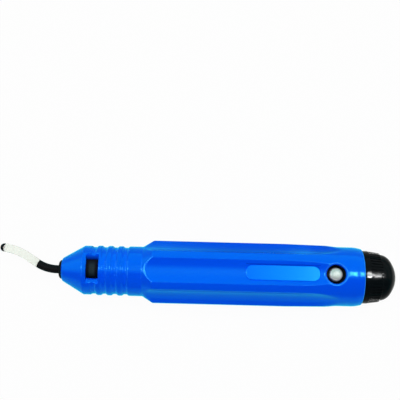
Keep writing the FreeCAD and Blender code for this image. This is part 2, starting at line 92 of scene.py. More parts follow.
# ---- sizes of the handle, in millimetres ----------------------------------------------------
# Names that end in _ROUND are the radii of rounded corners, and x is measured as above.
BODY_START = along(BODY_LOW)
BODY_END = along(BODY_HIGH)
BARREL_R = BODY_HIGH.y / MM
END_FACE_R = 3.0            # the sleeve's front end is one flat face inside this radius
NOSE_FRONT_R = 4.37
NOSE_ROUND = 1.2
CONE_END = 9.8
RING_R = 9.45               # the ring between the cone and the first groove
RING_ROUND = 0.6
NECK_R = 9.6
GROOVES = 4
GROOVE_FIRST = 13.8         # middle of the first groove
GROOVE_PITCH = 4.03
GROOVE_WIDTH = 2.6
GROOVE_FLOOR = 1.2          # length of its flat floor
GROOVE_DEPTH = 0.55
GROOVE_ROUND = 0.5
CREST_ROUND = 0.9
SHOULDER_X = 32.4
SHOULDER_ROUND = 0.8
SHOULDER_END = 36.5
BARREL_ROUND = 1.2
TAPER_LENGTH = 15.5
TAPER_START_ROUND = 30.0
TAPER_R = 11.82
TAPER_END_ROUND = 12.0
RUN_IN_LENGTH = 4.2         # from the taper's end to the plain rear cylinder
REAR_R = 11.42
REAR_LENGTH = 9.4
REAR_START_ROUND = 6.0
REAR_EDGE_R = 10.9
REAR_EDGE_LENGTH = 2.6
REAR_EDGE_ROUND = 10.0
REAR_CORNER_ROUND = 0.25
REAR_X = BODY_END - REAR_LENGTH
TAPER_END = REAR_X - RUN_IN_LENGTH

FLUTES = 6
FLUTE_R = 11.2
FLUTE_FLOOR_R = 10.2        # from the axis to the flute's lowest line
FLUTE_FADE_X = BODY_END - 21.8      # where the flutes start to run out
FLUTE_FADE_R = 60.0
LAND_ROUND = 0.65

PANEL_LENGTH = 28.5         # the label recess
PANEL_END = BODY_END - 16.7
PANEL_START = PANEL_END - PANEL_LENGTH
PANEL_MIDDLE = PANEL_END - PANEL_LENGTH / 2
PANEL_WIDTH = 6.4
PANEL_CORNER_R = 2.8
PANEL_DEPTH = 0.3           # below the flute's lowest line
PANEL_FLOOR = FLUTE_FLOOR_R - PANEL_DEPTH
PANEL_WALL = 0.35           # width of the slope round its floor

WINDOW_X = along((BUTTON_LOW + BUTTON_HIGH) / 2)
WINDOW_LENGTH = 4.7
WINDOW_WIDTH = 7.2
WINDOW_CORNER_R = 0.35
RIM_ROUND = 0.3
SCOOP_R = 9.9
SCOOP_FLOOR = 6.0           # its height above the axis
SCOOP_BLEND = 0.9
SCOOP_MARGIN = 0.12         # the scoop reaches this far past the window
SCOOP_END = 0.25            # length of the slope at its front and rear

PIN_R = 2.52
CATCH_X = along((COLLAR_LOW + COLLAR_HIGH) / 2)
CATCH_HOLE_R = 3.65
CATCH_SINK_R = 4.3
CATCH_SINK_BLEND = 0.4
CATCH_SINK_SPARE = 0.1      # the lip is cut this much past the hole's edge
CHANNEL_PLAY = 0.15         # each side of the pin
CHANNEL_WIDTH = 2 * (PIN_R + CHANNEL_PLAY)
CHANNEL_HEADROOM = 0.1
CHANNEL_ROOF_R = above_axis(PIN_HIGH) + CHANNEL_HEADROOM
CHANNEL_ROOF_POINTS = 9

NOSE_BORE_R = 2.8
SHANK_BORE_R = 3.0
BAY_LENGTH = 6.0
BAY_WIDTH = 8.6
BAY_ROOF = 5.4
BAY_FLOOR = -5.4
BAY_WALL = 0.5              # the nose bore stops this far ahead of the bay's rear wall
MAGAZINE_BORE_R = 8.35
MAGAZINE_BORE_SPARE = 2.0   # room in front of the tray
MAGAZINE_BORE_X = along(TRAY_LOW) - MAGAZINE_BORE_SPARE
BORE_STEP = 0.5             # the rear end is one flat face that far inside the magazine's bore
PAST_END = 1.0              # cutters along the axis stand out of the handle by this much
CUT_FROM, CUT_TO = 4.0, 14.0    # upright cutters start in the bores and end in the open


# ---- mesh making --------------------------------------------------------------------------
DOUBLED = 1e-4              # millimetres within which two points are one
SHARP = 35                  # edges that turn by more degrees than this stay sharp
ARC_STEP = 7.0              # degrees of a rounded corner from one point to the next
LONG_RUN = 1.5              # spacings past which a straight run is divided
CORNER_STEPS = 6            # faces in the rounded corner of a block
POLE_R = 0.05               # a profile's ends stop this short of its axis
CAD_DOUBLED = 1e-3          # millimetres within which two points of a CAD node are one
CAD_FLAT = 1                # degrees within which its triangles make one face
CAD_SHARP = 30              # degrees past which its edges are rounded
CAD_EDGE_FACES = 2          # faces in each rounded edge


def arc_points(before, here, after, radius, step=ARC_STEP):
    """Points on the arc that rounds the corner here, about step degrees apart."""
    back, onward = before - here, after - here
    half_angle = back.angle(onward) / 2
    reach = min(radius / math.tan(half_angle), back.length, onward.length)
    radius = reach * math.tan(half_angle)
    inward = (back.normalized() + onward.normalized()).normalized()
    centre = here + inward * (radius / math.sin(half_angle))
    enter = here + back.normalized() * reach - centre
    leave = here + onward.normalized() * reach - centre
    turn = enter.angle_signed(leave)
    count = max(2, math.ceil(math.degrees(abs(turn)) / step))
    return [centre + Matrix.Rotation(-turn * i / count, 2) @ enter for i in range(count + 1)]


def outline(corners, spacing=None):
    """A rounded profile from (x, r, rounding) corners, with long runs divided by spacing(x)."""
    places = [Vector(corner[:2]) for corner in corners]
    points = [places[0]]
    for index in range(1, len(corners)):
        rounding = corners[index][2]
        if rounding > 0 and index < len(corners) - 1:
            rounded = arc_points(places[index - 1], places[index], places[index + 1], rounding)
        else:
            rounded = [places[index]]
        start, end = points[-1], rounded[0]
        while spacing and (end - start).length > LONG_RUN * spacing(start.x):
            start = start + (end - start).normalized() * spacing(start.x)
            points.append(start)
        points += rounded
    kept = [points[0]]
    for point in points[1:]:
        if (point - kept[-1]).length > DOUBLED:
            kept.append(point)
    return kept


def in_place(points):
    """Millimetres about the axis as metres in the frame."""
    return np.asarray(points, float) * MM + np.array(AXIS)


def in_scene(name, data):
    """A new object at the origin, in the scene."""
    made = bpy.data.objects.new(name, data)
    bpy.context.scene.collection.objects.link(made)
    return made


def tidy_normals(piece):
    """Merges doubled points and turns every face outwards."""
    work = bmesh.new()
    work.from_mesh(piece.data)
    bmesh.ops.remove_doubles(work, verts=work.verts, dist=DOUBLED * MM)
    bmesh.ops.recalc_face_normals(work, faces=work.faces)
    work.to_mesh(piece.data)
    work.free()


def shade(piece, sharp=SHARP):
    """Smooth shading, but for the edges that turn by more than sharp degrees."""
    mesh = piece.data
    mesh.polygons.foreach_set("use_smooth", [True] * len(mesh.polygons))
    mesh.set_sharp_from_angle(angle=math.radians(sharp))
    mesh.update()


def mesh_piece(name, points, faces, sharp=SHARP):
    """A new mesh piece from points in millimetres, smooth but for edges past sharp degrees."""
    mesh = bpy.data.meshes.new(name)
    mesh.from_pydata(in_place(points).tolist(), [], faces)
    piece = in_scene(name, mesh)
    tidy_normals(piece)
    shade(piece, sharp)
    return piece


def tube_faces(rows, columns):
    """Faces of a grid that closes on itself sideways, with one flat face at each end."""
    faces = []
    for row in range(rows - 1):
        for column in range(columns):
            beside = (column + 1) % columns
            start, over = row * columns, (row + 1) * columns
            faces.append((start + column, start + beside, over + beside, over + column))
    faces.append(tuple(range(columns - 1, -1, -1)))
    faces.append(tuple((rows - 1) * columns + column for column in range(columns)))
    return faces


def lathe(name, profile, columns, upright_at=None, sharp=SHARP):
    """A solid turned about the handle's axis, or about an upright line at x = upright_at."""
    points = []
    for reach, r in profile:
        for turn in np.linspace(0, 2 * math.pi, columns, endpoint=False):
            if upright_at is None:
                points.append((reach, r * math.sin(turn), r * math.cos(turn)))
            else:
                points.append((upright_at + r * math.cos(turn), r * math.sin(turn), reach))
    return mesh_piece(name, points, tube_faces(len(profile), columns), sharp)


def box_piece(name, x_middle, length, width, z_low, z_high, corner_r=0.0):
    """An upright block with rounded upright edges, for cutting."""
    over_x, over_y = length / 2 - corner_r, width / 2 - corner_r
    corner = np.linspace(0, 90, CORNER_STEPS + 1) if corner_r else [0.0]
    ring = []
    for side_x, side_y, start in ((1, 1, 0), (-1, 1, 90), (-1, -1, 180), (1, -1, 270)):
        for turn in np.radians(start + np.asarray(corner)):
            x = x_middle + side_x * over_x + corner_r * math.cos(turn)
            ring.append((x, side_y * over_y + corner_r * math.sin(turn)))
    points = [(x, y, z) for z in (z_low, z_high) for x, y in ring]
    return mesh_piece(name, points, tube_faces(2, len(ring)))


def apply_modifiers(piece):
    """Keeps what the modifiers make as the piece's own mesh."""
    depsgraph = bpy.context.evaluated_depsgraph_get()
    made = bpy.data.meshes.new_from_object(piece.evaluated_get(depsgraph))
    piece.modifiers.clear()
    piece.data = made


def carve(piece, *cutters):
    """Cuts closed cutters out of a closed piece."""
    for cutter in cutters:
        cut = piece.modifiers.new("cut", "BOOLEAN")
        cut.operation = "DIFFERENCE"
        cut.solver = "MANIFOLD"
        cut.object = cutter
        apply_modifiers(piece)
        bpy.data.objects.remove(cutter)


def smooth_copy(node, edge_mm):
    """A copy of a CAD node with its doubles merged and its hard edges slightly rounded."""
    piece = in_scene(node + "_finished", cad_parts[node].data.copy())
    work = bmesh.new()
    work.from_mesh(piece.data)
    bmesh.ops.remove_doubles(work, verts=work.verts, dist=CAD_DOUBLED * MM)
    flat = math.radians(CAD_FLAT)
    bmesh.ops.dissolve_limit(work, angle_limit=flat, verts=work.verts, edges=work.edges)
    work.to_mesh(piece.data)
    work.free()
    bevel = piece.modifiers.new("edges", "BEVEL")
    bevel.width = edge_mm * MM
    bevel.segments = CAD_EDGE_FACES
    bevel.limit_method = "ANGLE"
    bevel.angle_limit = math.radians(CAD_SHARP)
    apply_modifiers(piece)
    shade(piece, CAD_SHARP)
    return piece


# ---- node trees ---------------------------------------------------------------------------
class Value:
    """A socket of a node tree, with arithmetic that adds Math nodes."""

    def __init__(self, nodes, socket):
        self.nodes = nodes
        self.socket = socket

    def math(self, operation, *others, clamp=False):
        """Any Math node on this value and others."""
        inputs = dict(enumerate((self,) + others))
        return self.nodes.add("ShaderNodeMath", {"operation": operation, "use_clamp": clamp}, inputs)

    def __add__(self, other):
        return self.math("ADD", other)

    def __radd__(self, other):
        return self.math("ADD", other)

    def __sub__(self, other):
        return self.math("SUBTRACT", other)

    def __rsub__(self, other):
        return self.nodes.add("ShaderNodeMath", {"operation": "SUBTRACT"}, {0: other, 1: self})

    def __mul__(self, other):
        return self.math("MULTIPLY", other)

    def __rmul__(self, other):
        return self.math("MULTIPLY", other)

    def __truediv__(self, other):
        return self.math("DIVIDE", other)

    def root(self):
        return self.math("SQRT")

    def squared(self):
        return self * self

    def least(self, other):
        """The smaller of the two."""
        return self.math("MINIMUM", other)

    def most(self, other):
        """The larger of the two."""
        return self.math("MAXIMUM", other)

    def above(self, edge, soft):
        """0 below the edge and 1 above it, over a soft width."""
        return ((self - edge) / soft + 0.5).clamped()

    def below(self, edge, soft):
        """1 below the edge and 0 above it, over a soft width."""
        return 1 - self.above(edge, soft)

    def between(self, low, high, soft):
        """1 between two edges and 0 outside them, over a soft width."""
        return self.above(low, soft) * self.below(high, soft)

    def absolute(self):
        return self.math("ABSOLUTE")

    def clamped(self):
        """The value kept between 0 and 1."""
        return self.math("ADD", 0.0, clamp=True)

    def eased(self):
        """A value between 0 and 1 with its start and end made gentle."""
        return self * self * (3 - 2 * self)


class Nodes:
    """A node tree that is written as sums of values."""

    def __init__(self, tree):
        self.tree = tree
        self.tree.nodes.clear()

    def add(self, kind, settings=None, inputs=None, output=0):
        """Any node: its settings first, then the values or links of its sockets."""
        node = self.tree.nodes.new(kind)
        for name, value in (settings or {}).items():
            setattr(node, name, value)
        for name, value in (inputs or {}).items():
            if isinstance(value, Value):
                self.tree.links.new(value.socket, node.inputs[name])
            else:
                node.inputs[name].default_value = value
        return Value(self, node.outputs[output]) if node.outputs else None

    def parts(self, vector):
        """The three numbers of a vector."""
        return [self.add("ShaderNodeSeparateXYZ", None, {0: vector}, i) for i in range(3)]

    def vector(self, x, y, z):
        return self.add("ShaderNodeCombineXYZ", None, {"X": x, "Y": y, "Z": z})


class Shaper(Nodes):
    """A Geometry Nodes tree with one named input for each size, which reshapes a mesh piece."""

    def __init__(self, name, sizes, finish):
        super().__init__(bpy.data.node_groups.new(name, "GeometryNodeTree"))
        named = self.tree.interface
        named.new_socket("Geometry", in_out="INPUT", socket_type="NodeSocketGeometry")
        self.given = {}
        for label, size in {**sizes, "Finish": finish}.items():
            kind = {int: "Int", float: "Float"}.get(type(size), "Material")
            socket = named.new_socket(label, in_out="INPUT", socket_type="NodeSocket" + kind)
            self.given[socket.identifier] = size
        named.new_socket("Geometry", in_out="OUTPUT", socket_type="NodeSocketGeometry")
        entry = self.tree.nodes.new("NodeGroupInput")
        self.shape = Value(self, entry.outputs["Geometry"])
        self.size = {label: Value(self, entry.outputs[label]) for label in sizes}
        self.finish = Value(self, entry.outputs["Finish"])

    def run(self, piece, geometry):
        """Ends the tree, runs it on a piece and keeps the result as the piece's own mesh."""
        solid = self.add("GeometryNodeRealizeInstances", None, {"Geometry": geometry})
        inputs = {"Geometry": solid, "Material": self.finish}
        dressed = self.add("GeometryNodeSetMaterial", None, inputs)
        self.add("NodeGroupOutput", None, {"Geometry": dressed})
        shaping = piece.modifiers.new("shaping", "NODES")
        shaping.node_group = self.tree
        for identifier, size in self.given.items():
            shaping[identifier] = size
        apply_modifiers(piece)


class Finish(Nodes):
    """One material and its nodes."""

    def __init__(self, name):
        self.material = bpy.data.materials.new(name)
        self.material.use_nodes = True
        super().__init__(self.material.node_tree)

    def place(self):
        """Object coordinates, in millimetres about the handle's axis."""
        here = self.add("ShaderNodeTexCoord", output="Object")
        scale = (1 / MM,) * 3
        start = tuple(-v / MM for v in AXIS)
        return self.add("ShaderNodeMapping", None, {"Vector": here, "Scale": scale, "Location": start})

    def noise(self, vector, scale, detail=2.0, roughness=0.5, stretch=None):
        """Noise whose patches are about 1 / scale millimetres across."""
        if stretch:
            vector = self.add("ShaderNodeMapping", None, {"Vector": vector, "Scale": stretch})
        inputs = {"Vector": vector, "Scale": scale, "Detail": detail, "Roughness": roughness}
        return self.add("ShaderNodeTexNoise", None, inputs)

    def mix(self, factor, first, second):
        """Blends two colours."""
        return self.add("ShaderNodeMix", {"data_type": "RGBA"}, {0: factor, 6: first, 7: second}, 2)

    def bump(self, height, distance_mm, strength):
        """A relief of the surface, this deep where the height goes from 0 to 1."""
        inputs = {"Height": height, "Distance": distance_mm * MM, "Strength": strength}
        return self.add("ShaderNodeBump", None, inputs)

    def surface(self, **sockets):
        """The shader itself, with plain values set on its own sockets."""
        inputs = {name.replace("_", " "): value for name, value in sockets.items()}
        shader = self.add("ShaderNodeBsdfPrincipled", None, inputs)
        self.add("ShaderNodeOutputMaterial", None, {"Surface": shader})
        return self.material


# ---- finishes -----------------------------------------------------------------------------
# Masks are worked out in millimetres about the handle's axis: edges first, softness last.
def rgb(red, green, blue):
    """A colour of a material or a lamp, fully opaque."""
    return (red, green, blue, 1.0)


def label_masks(x, y, z):
    """Where the label recess's floor gets a painted reflection, and where its wall on the shaded side
    gets painted shade.
    """
    along_it = x.between(PANEL_START + 0.2, PANEL_END - 0.2, 0.3)
    over_floor = y.absolute().below(PANEL_WIDTH / 2 - 0.15, 0.2)
    floor = along_it * z.between(PANEL_FLOOR - 0.3, PANEL_FLOOR + 0.12, 0.1) * over_floor
    beside_floor = y.between(PANEL_WIDTH / 2 - 0.3, PANEL_WIDTH / 2 + 0.1, 0.2)
    return floor, along_it * z.above(PANEL_FLOOR - 0.1, 0.1) * beside_floor


def scoop_shade_mask(x, y):
    """Where the thumb scoop climbs out of the window on the shaded side, which gets painted shade."""
    in_scoop = (x - WINDOW_X).absolute().below(WINDOW_LENGTH / 2 + 0.2, 0.3)
    return in_scoop * y.above(WINDOW_WIDTH / 2 - 0.1, 0.2) * y.below(4.6, 1.2)


def rim_highlight_mask(x, y, z):
    """The lip of the catch hole and the handle's rear rim, which get painted highlights in a paler
    blue.
    """
    from_catch = ((x - CATCH_X).squared() + y.squared()).root()
    lip = from_catch.between(CATCH_SINK_R - 0.25, CATCH_SINK_R, 0.15) * z.above(8.0, 0.5)
    rim = x.above(BODY_END - 0.25, 0.2)
    return (lip * 0.4).most(rim * 0.5)


def glossy_blue():
    """Bright blue moulded plastic: flow shading, scuffs on the lands, a faint moulded skin."""
    finish = Finish("glossy_blue_plastic")
    place = finish.place()
    x, y, z = finish.parts(place)
    flow = finish.noise(place, 0.08, 3.0, stretch=(0.35, 1.0, 1.0))
    blotch = finish.noise(place, 0.6, 3.0)
    skin = finish.noise(place, 5.0, 4.0, 0.6)
    scuff = finish.noise(place, 1.3, 6.0, 0.75, stretch=(0.25, 2.0, 2.0)).above(0.66, 0.06)
    label_floor, label_wall_shade = label_masks(x, y, z)
    base = finish.mix(flow, rgb(0.0, 0.068, 0.88), rgb(0.0, 0.080, 0.92))
    base = finish.mix(blotch * 0.25, base, rgb(0.0, 0.068, 0.85))
    # Painted reflection: the label recess's floor is paler, and brighter towards the rear.
    label = x.above(PANEL_MIDDLE, PANEL_LENGTH)
    label = finish.mix(label, rgb(0.0, 0.115, 0.97), rgb(0.0, 0.27, 1.0))
    base = finish.mix(label_floor, base, label)
    # Painted shade on the label recess's wall on the shaded side.
    base = finish.mix(label_wall_shade * 0.5, base, rgb(0.0, 0.02, 0.45))
    # Painted shade on the scoop's wall on the shaded side of the window.
    base = finish.mix(scoop_shade_mask(x, y) * 0.7, base, rgb(0.0, 0.01, 0.16))
    base = finish.mix(scuff * 0.06, base, rgb(0.2, 0.35, 1.0))
    # Painted highlights on the catch hole's lip and the handle's rear rim.
    base = finish.mix(rim_highlight_mask(x, y, z), base, rgb(0.05, 0.42, 1.0))
    height = skin * 0.35 + blotch * 0.5 + scuff * 0.3
    return finish.surface(
        Base_Color=base,
        Roughness=0.12 + blotch * 0.05 + scuff * 0.12,
        Specular_IOR_Level=0.5,
        Specular_Tint=rgb(0.08, 0.64, 1.0),
        Normal=finish.bump(height, 0.015, 0.4),
    )


def black_plastic(name, roughness, shine):
    """Black moulded plastic with a half gloss, dust in its texture and slight rub marks."""
    finish = Finish(name)
    place = finish.place()
    blotch = finish.noise(place, 0.5, 3.0)
    skin = finish.noise(place, 6.0, 3.0, 0.6)
    rub = finish.noise(place, 2.0, 5.0, 0.7, stretch=(0.4, 1.5, 1.5)).above(0.64, 0.08)
    base = finish.mix(blotch, rgb(0.002, 0.003, 0.004), rgb(0.004, 0.006, 0.007))
    base = finish.mix(rub * 0.3, base, rgb(0.012, 0.015, 0.017))
    return finish.surface(
        Base_Color=base,
        Roughness=roughness + blotch * 0.08 + rub * 0.1,
        Specular_IOR_Level=shine,
        Normal=finish.bump(skin * 0.5 + blotch * 0.5, 0.012, 0.3),
    )


def shaded_button_plastic():
    """The button's black plastic, with a painted highlight in its middle and painted shade towards its
    edges.
    """
    finish = Finish("button_plastic")
    place = finish.place()
    x, y, _ = finish.parts(place)
    blotch = finish.noise(place, 0.8, 3.0)
    skin = finish.noise(place, 6.0, 3.0, 0.6)
    # Painted highlight in the middle and painted shade towards the edges, where the window's walls
    # shade the button.
    lit_middle = (x - WINDOW_X).absolute().below(1.05, 0.8) * y.absolute().below(2.2, 1.8)
    lit_middle_colour = finish.mix(blotch, rgb(0.010, 0.022, 0.027), rgb(0.015, 0.030, 0.036))
    return finish.surface(
        Base_Color=finish.mix(lit_middle, rgb(0.001, 0.002, 0.006), lit_middle_colour),
        Roughness=0.34 + blotch * 0.1,
        Specular_IOR_Level=0.02,
        Normal=finish.bump(skin * 0.5 + blotch * 0.5, 0.012, 0.3),
    )


def black_oxide():
    """Blackened tool steel: brown-black, with bright rubs and drawn lines along the wire."""
    finish = Finish("black_oxide_steel")
    place = finish.place()
    blotch = finish.noise(place, 0.9, 4.0, 0.65)
    lines = finish.noise(place, 3.0, 2.0, 0.5, stretch=(0.15, 3.0, 3.0))
    rub = finish.noise(place, 2.2, 5.0, 0.7).above(0.66, 0.05)
    base = finish.mix(blotch, rgb(0.005, 0.004, 0.005), rgb(0.012, 0.010, 0.011))
    base = finish.mix(rub * 0.3, base, rgb(0.06, 0.057, 0.057))
    return finish.surface(
        Base_Color=base,
        Roughness=0.34 + blotch * 0.16,
        Specular_IOR_Level=0.015,
        Normal=finish.bump(lines * 0.6 + blotch * 0.4, 0.02, 0.4),
    )


def ground_steel():
    """The bright face that a grinding wheel left: fine lines, and greyer streaks of painted shade by
    its edges.
    """
    finish = Finish("ground_steel")
    place = finish.place()
    lines = finish.noise(place, 1.6, 3.0, 0.6, stretch=(9.0, 0.5, 1.0))
    sheen = finish.noise(place, 0.5, 2.0)
    across = finish.add("ShaderNodeAttribute", {"attribute_name": "across"}, None, "Fac")
    # Painted shade: greyer streaks along both edges of the ground face.
    ground_edge_shade = across.above(0.52, 0.25) * across.below(0.86, 0.12)
    base = finish.mix(sheen, rgb(0.82, 0.76, 0.70), rgb(0.86, 0.80, 0.74))
    base = finish.mix(lines * 0.12, base, rgb(0.72, 0.72, 0.70))
    base = finish.mix(ground_edge_shade * 0.5, base, rgb(0.66, 0.67, 0.66))
    return finish.surface(
        Base_Color=base,
        Metallic=0.05,
        Roughness=0.3 + lines * 0.14,
        Specular_IOR_Level=0.05,
        Normal=finish.bump(lines, 0.01, 0.3),
    )


def turned_surface(finish, base, metallic):
    """Steel of this colour, with the rings that turning leaves."""
    rings = finish.noise(finish.place(), 5.0, 2.0, stretch=(2.0, 2.0, 2.0))
    return finish.surface(
        Base_Color=base,
        Metallic=metallic,
        Roughness=0.3 + rings * 0.12,
        Specular_IOR_Level=0.3,
        Normal=finish.bump(rings, 0.008, 0.4),
    )


def turned_steel(name, bright):
    """Plain steel of this brightness, a little warm, with faint stains."""
    finish = Finish(name)
    stain = finish.noise(finish.place(), 0.7, 4.0, 0.6)
    clean = rgb(bright, bright * 0.95, bright * 0.92)
    dull = bright * 0.7
    base = finish.mix(stain, clean, rgb(dull, dull * 0.96, dull * 0.9))
    return turned_surface(finish, base, 0.35)


PIN_SHADE_R = 2.3            # where painted shade starts on the pin's crown


def pin_steel():
    """The catch pin's crown: bright in the middle with a smudge, with painted shade towards its edge.
    """
    finish = Finish("pin_steel")
    place = finish.place()
    x, y, _ = finish.parts(place)
    out = ((x - CATCH_X).squared() + y.squared()).root() / PIN_SHADE_R
    smear = finish.noise(place, 0.75, 4.0, 0.65)
    # Painted shade towards the crown's edge.
    pin_edge_shade = out.above(1.0, 0.22) * 0.75
    smudge = smear.above(0.52, 0.16) * out.below(0.6, 0.5) * 0.4
    base = finish.mix(smear, rgb(0.55, 0.515, 0.485), rgb(0.44, 0.42, 0.40))
    base = finish.mix(pin_edge_shade.most(smudge), base, rgb(0.07, 0.065, 0.06))
    return turned_surface(finish, base, 0.1)


FLOOR_GLOW = 0.96           # how much of the floor that the camera sees is plain white


def white_floor():
    """White paper that keeps the tool's shadow."""
    finish = Finish("white_floor")
    grain = finish.noise(finish.place(), 2.0, 3.0)
    base = finish.mix(grain, rgb(0.74, 0.74, 0.74), rgb(0.78, 0.78, 0.78))
    seen = finish.add("ShaderNodeLightPath", output="Is Camera Ray")
    paper = finish.add("ShaderNodeBsdfDiffuse", None, {"Color": base})
    glow = finish.add("ShaderNodeEmission", None, {"Color": rgb(1.0, 1.0, 1.0), "Strength": 1.0})
    both = finish.add("ShaderNodeMixShader", None, {0: seen * FLOOR_GLOW, 1: paper, 2: glow})
    finish.add("ShaderNodeOutputMaterial", None, {"Surface": both})
    return finish.material


# ---- the handle body ----------------------------------------------------------------------
# The handle starts as a turned sleeve, whose grid lies closer where it has small forms.
PLAIN_ROWS = 1.2            # millimetres from one row to the next
CLOSE_ROWS = (              # from, to, apart
    (WINDOW_X - 3.2, WINDOW_X + 3.2, 0.14),
    (CATCH_X - 5.0, CATCH_X + 5.0, 0.16),
    (PANEL_START - 0.7, PANEL_START + 3.0, 0.16),
    (PANEL_END - 3.0, PANEL_END + 0.7, 0.16),
    (SHOULDER_X - 1.0, SHOULDER_END + 2.5, 0.25),
    (FLUTE_FADE_X, REAR_X + 2.0, 0.5),
)
TOP_COLUMNS = (-34.0, 34.0, 0.62)   # degrees about the top flute: from, to, apart
OTHER_COLUMNS = (           # the same about each other flute: its edges, its hollow, the land
    (-25.05, -19.05, 0.6),
    (19.05, 25.05, 0.6),
    (-18.0, 18.0, 3.6),
    (25.5, 34.0, 2.8),
)
CLOSEST_COLUMNS = 0.3       # degrees; a column nearer than this to the one before is left out
TOP_COSINE = 0.5            # the top is all that lies within 60 degrees of upright
FADE_ROUNDS = 4             # each finds the run-out's radius more closely
FADE_EDGE = 0.99            # share of the flute's radius that the run-out is worked out over
OUT_OF_REACH = 90           # lifts the scoop away where its circle doesn't reach
BORE_SIDES = 72
HANDLE_SHARP = 40           # degrees


def row_spacing(x):
    """How closely the rows of the handle's grid lie at x."""
    for start, end, step in CLOSE_ROWS:
        if start <= x <= end:
            return step
    return PLAIN_ROWS


def column_turns():
    """The angles of the grid's columns: close over the top flute and at every land's edges."""
    turns = list(np.arange(*TOP_COLUMNS))
    for flute in range(1, FLUTES):
        middle = flute * 360 / FLUTES
        for start, end, step in OTHER_COLUMNS:
            turns += list(np.arange(middle + start, middle + end, step))
    turns = np.unique(np.round(np.mod(turns, 360.0), 3))
    kept = np.concatenate([[True], np.diff(turns) > CLOSEST_COLUMNS])
    return np.radians(turns[kept])


def body_profile():
    """The sleeve's outline: cone, grooves, shoulder, taper, rear cylinder and rear edge."""
    corners = [
        (BODY_START, END_FACE_R, 0),
        (BODY_START, NOSE_FRONT_R, NOSE_ROUND),
        (CONE_END, RING_R, RING_ROUND),
    ]
    floor_r = NECK_R - GROOVE_DEPTH
    crest_r = RING_R
    for number in range(GROOVES):
        middle = GROOVE_FIRST + number * GROOVE_PITCH
        corners += [
            (middle - GROOVE_WIDTH / 2, crest_r, CREST_ROUND),
            (middle - GROOVE_FLOOR / 2, floor_r, GROOVE_ROUND),
            (middle + GROOVE_FLOOR / 2, floor_r, GROOVE_ROUND),
            (middle + GROOVE_WIDTH / 2, NECK_R, CREST_ROUND),
        ]
        crest_r = NECK_R
    corners += [
        (SHOULDER_X, NECK_R, SHOULDER_ROUND),
        (SHOULDER_END, BARREL_R, BARREL_ROUND),
        (TAPER_END - TAPER_LENGTH, BARREL_R, TAPER_START_ROUND),
        (TAPER_END, TAPER_R, TAPER_END_ROUND),
        (REAR_X, REAR_R, REAR_START_ROUND),
        (BODY_END - REAR_EDGE_LENGTH, REAR_R, REAR_EDGE_ROUND),
        (BODY_END, REAR_EDGE_R, REAR_CORNER_ROUND),
        (BODY_END, MAGAZINE_BORE_R - BORE_STEP, 0),
    ]
    return outline(corners, row_spacing)


def turned_sleeve():
    """The handle before its flutes and bores: the outline turned through all the columns."""
    profile = body_profile()
    turns = column_turns()
    x = np.array([point.x for point in profile])[:, None]
    r = np.array([point.y for point in profile])[:, None]
    x = np.broadcast_to(x, (len(profile), len(turns)))
    grid = np.stack([x, r * np.sin(turns), r * np.cos(turns)], axis=-1).reshape(-1, 3)
    return mesh_piece("handle", grid, tube_faces(len(profile), len(turns)))


def flute_radius(x, turn, size):
    """The radius of the flutes' hollow, which runs out on a large radius at the rear."""
    flute_r, floor_r, fade_r = size["Flute Radius"], size["Flute Floor"], size["Fade Radius"]
    pitch = 2 * math.pi * size["Flutes"].math("POWER", -1)
    local = turn - (turn / pitch).math("ROUND") * pitch
    sine, cosine = local.math("SINE"), local.math("COSINE")
    centre = floor_r + flute_r
    square = flute_r.squared()
    radius = centre * cosine - (square - (centre * sine).squared()).root()
    pivot = centre + fade_r
    reach = (x - size["Fade Start"]).most(0)
    for _ in range(FADE_ROUNDS):
        aside = (radius * sine).absolute().least(flute_r * FADE_EDGE)
        swing = fade_r + (square - aside.squared()).root()
        radius = (pivot - (swing.squared() - reach.squared()).root()) / cosine
    return radius


def rounded_distance(x, y, middle, length, width, corner_r):
    """Distance outside a rounded outline centred on x = middle and y = 0, negative inside."""
    over_x = (x - middle).absolute() - length / 2 + corner_r
    over_y = y.absolute() - width / 2 + corner_r
    out_x, out_y = over_x.most(0), over_y.most(0)
    return (out_x.squared() + out_y.squared()).root() + over_x.most(over_y).least(0) - corner_r


def sink_label(radius, x, sine, cosine, on_top, size):
    """Lowers the top flute to the label recess's flat floor, with a soft wall all round."""
    outside = rounded_distance(x, radius * sine, size["Recess Middle"], size["Recess Length"],
                               size["Recess Width"], size["Recess Corner"])
    inside = (0 - outside / size["Recess Wall"]).clamped().eased() * on_top
    floor = size["Recess Floor"] / cosine.most(TOP_COSINE)
    return radius + (floor.least(radius) - radius) * inside


def sink_scoop(radius, x, sine, cosine, on_top, size):
    """Hollows the thumb scoop across the handle, as wide as the window is long."""
    middle = size["Scoop Floor"] + size["Scoop Radius"]
    aside = (middle * sine).absolute()
    depth = (size["Scoop Radius"].squared() - aside.squared()).most(0).root()
    beyond = aside.math("GREATER_THAN", size["Scoop Radius"])
    scoop = middle * cosine - depth + beyond * OUT_OF_REACH
    from_middle = (x - size["Window Middle"]).absolute()
    within = (size["Window Length"] / 2 + SCOOP_MARGIN - from_middle) / SCOOP_END
    scooped = radius.math("SMOOTH_MIN", scoop, SCOOP_BLEND)
    return radius + (scooped - radius) * within.clamped().eased() * on_top


def round_window_rim(radius, x, sine, on_top, size):
    """Rounds the window's rim, by a quarter circle that falls towards the opening."""
    outside = rounded_distance(x, radius * sine, size["Window Middle"], size["Window Length"],
                               size["Window Width"], 0.0)
    rim = size["Rim Rounding"]
    fallen = (rim - outside).most(0).least(rim)
    return radius - (rim - (rim.squared() - fallen.squared()).root()) * on_top


def sink_catch_lip(radius, x, sine, on_top, size):
    """Sinks the lip of the catch hole."""
    from_hole = ((x - size["Catch Middle"]).squared() + (radius * sine).squared()).root()
    sunk = (size["Catch Sink"] - from_hole).math("SMOOTH_MAX", 0.0, CATCH_SINK_BLEND)
    sunk = sunk.least(size["Catch Sink"] - size["Catch Hole"] + CATCH_SINK_SPARE)
    return radius - sunk * on_top


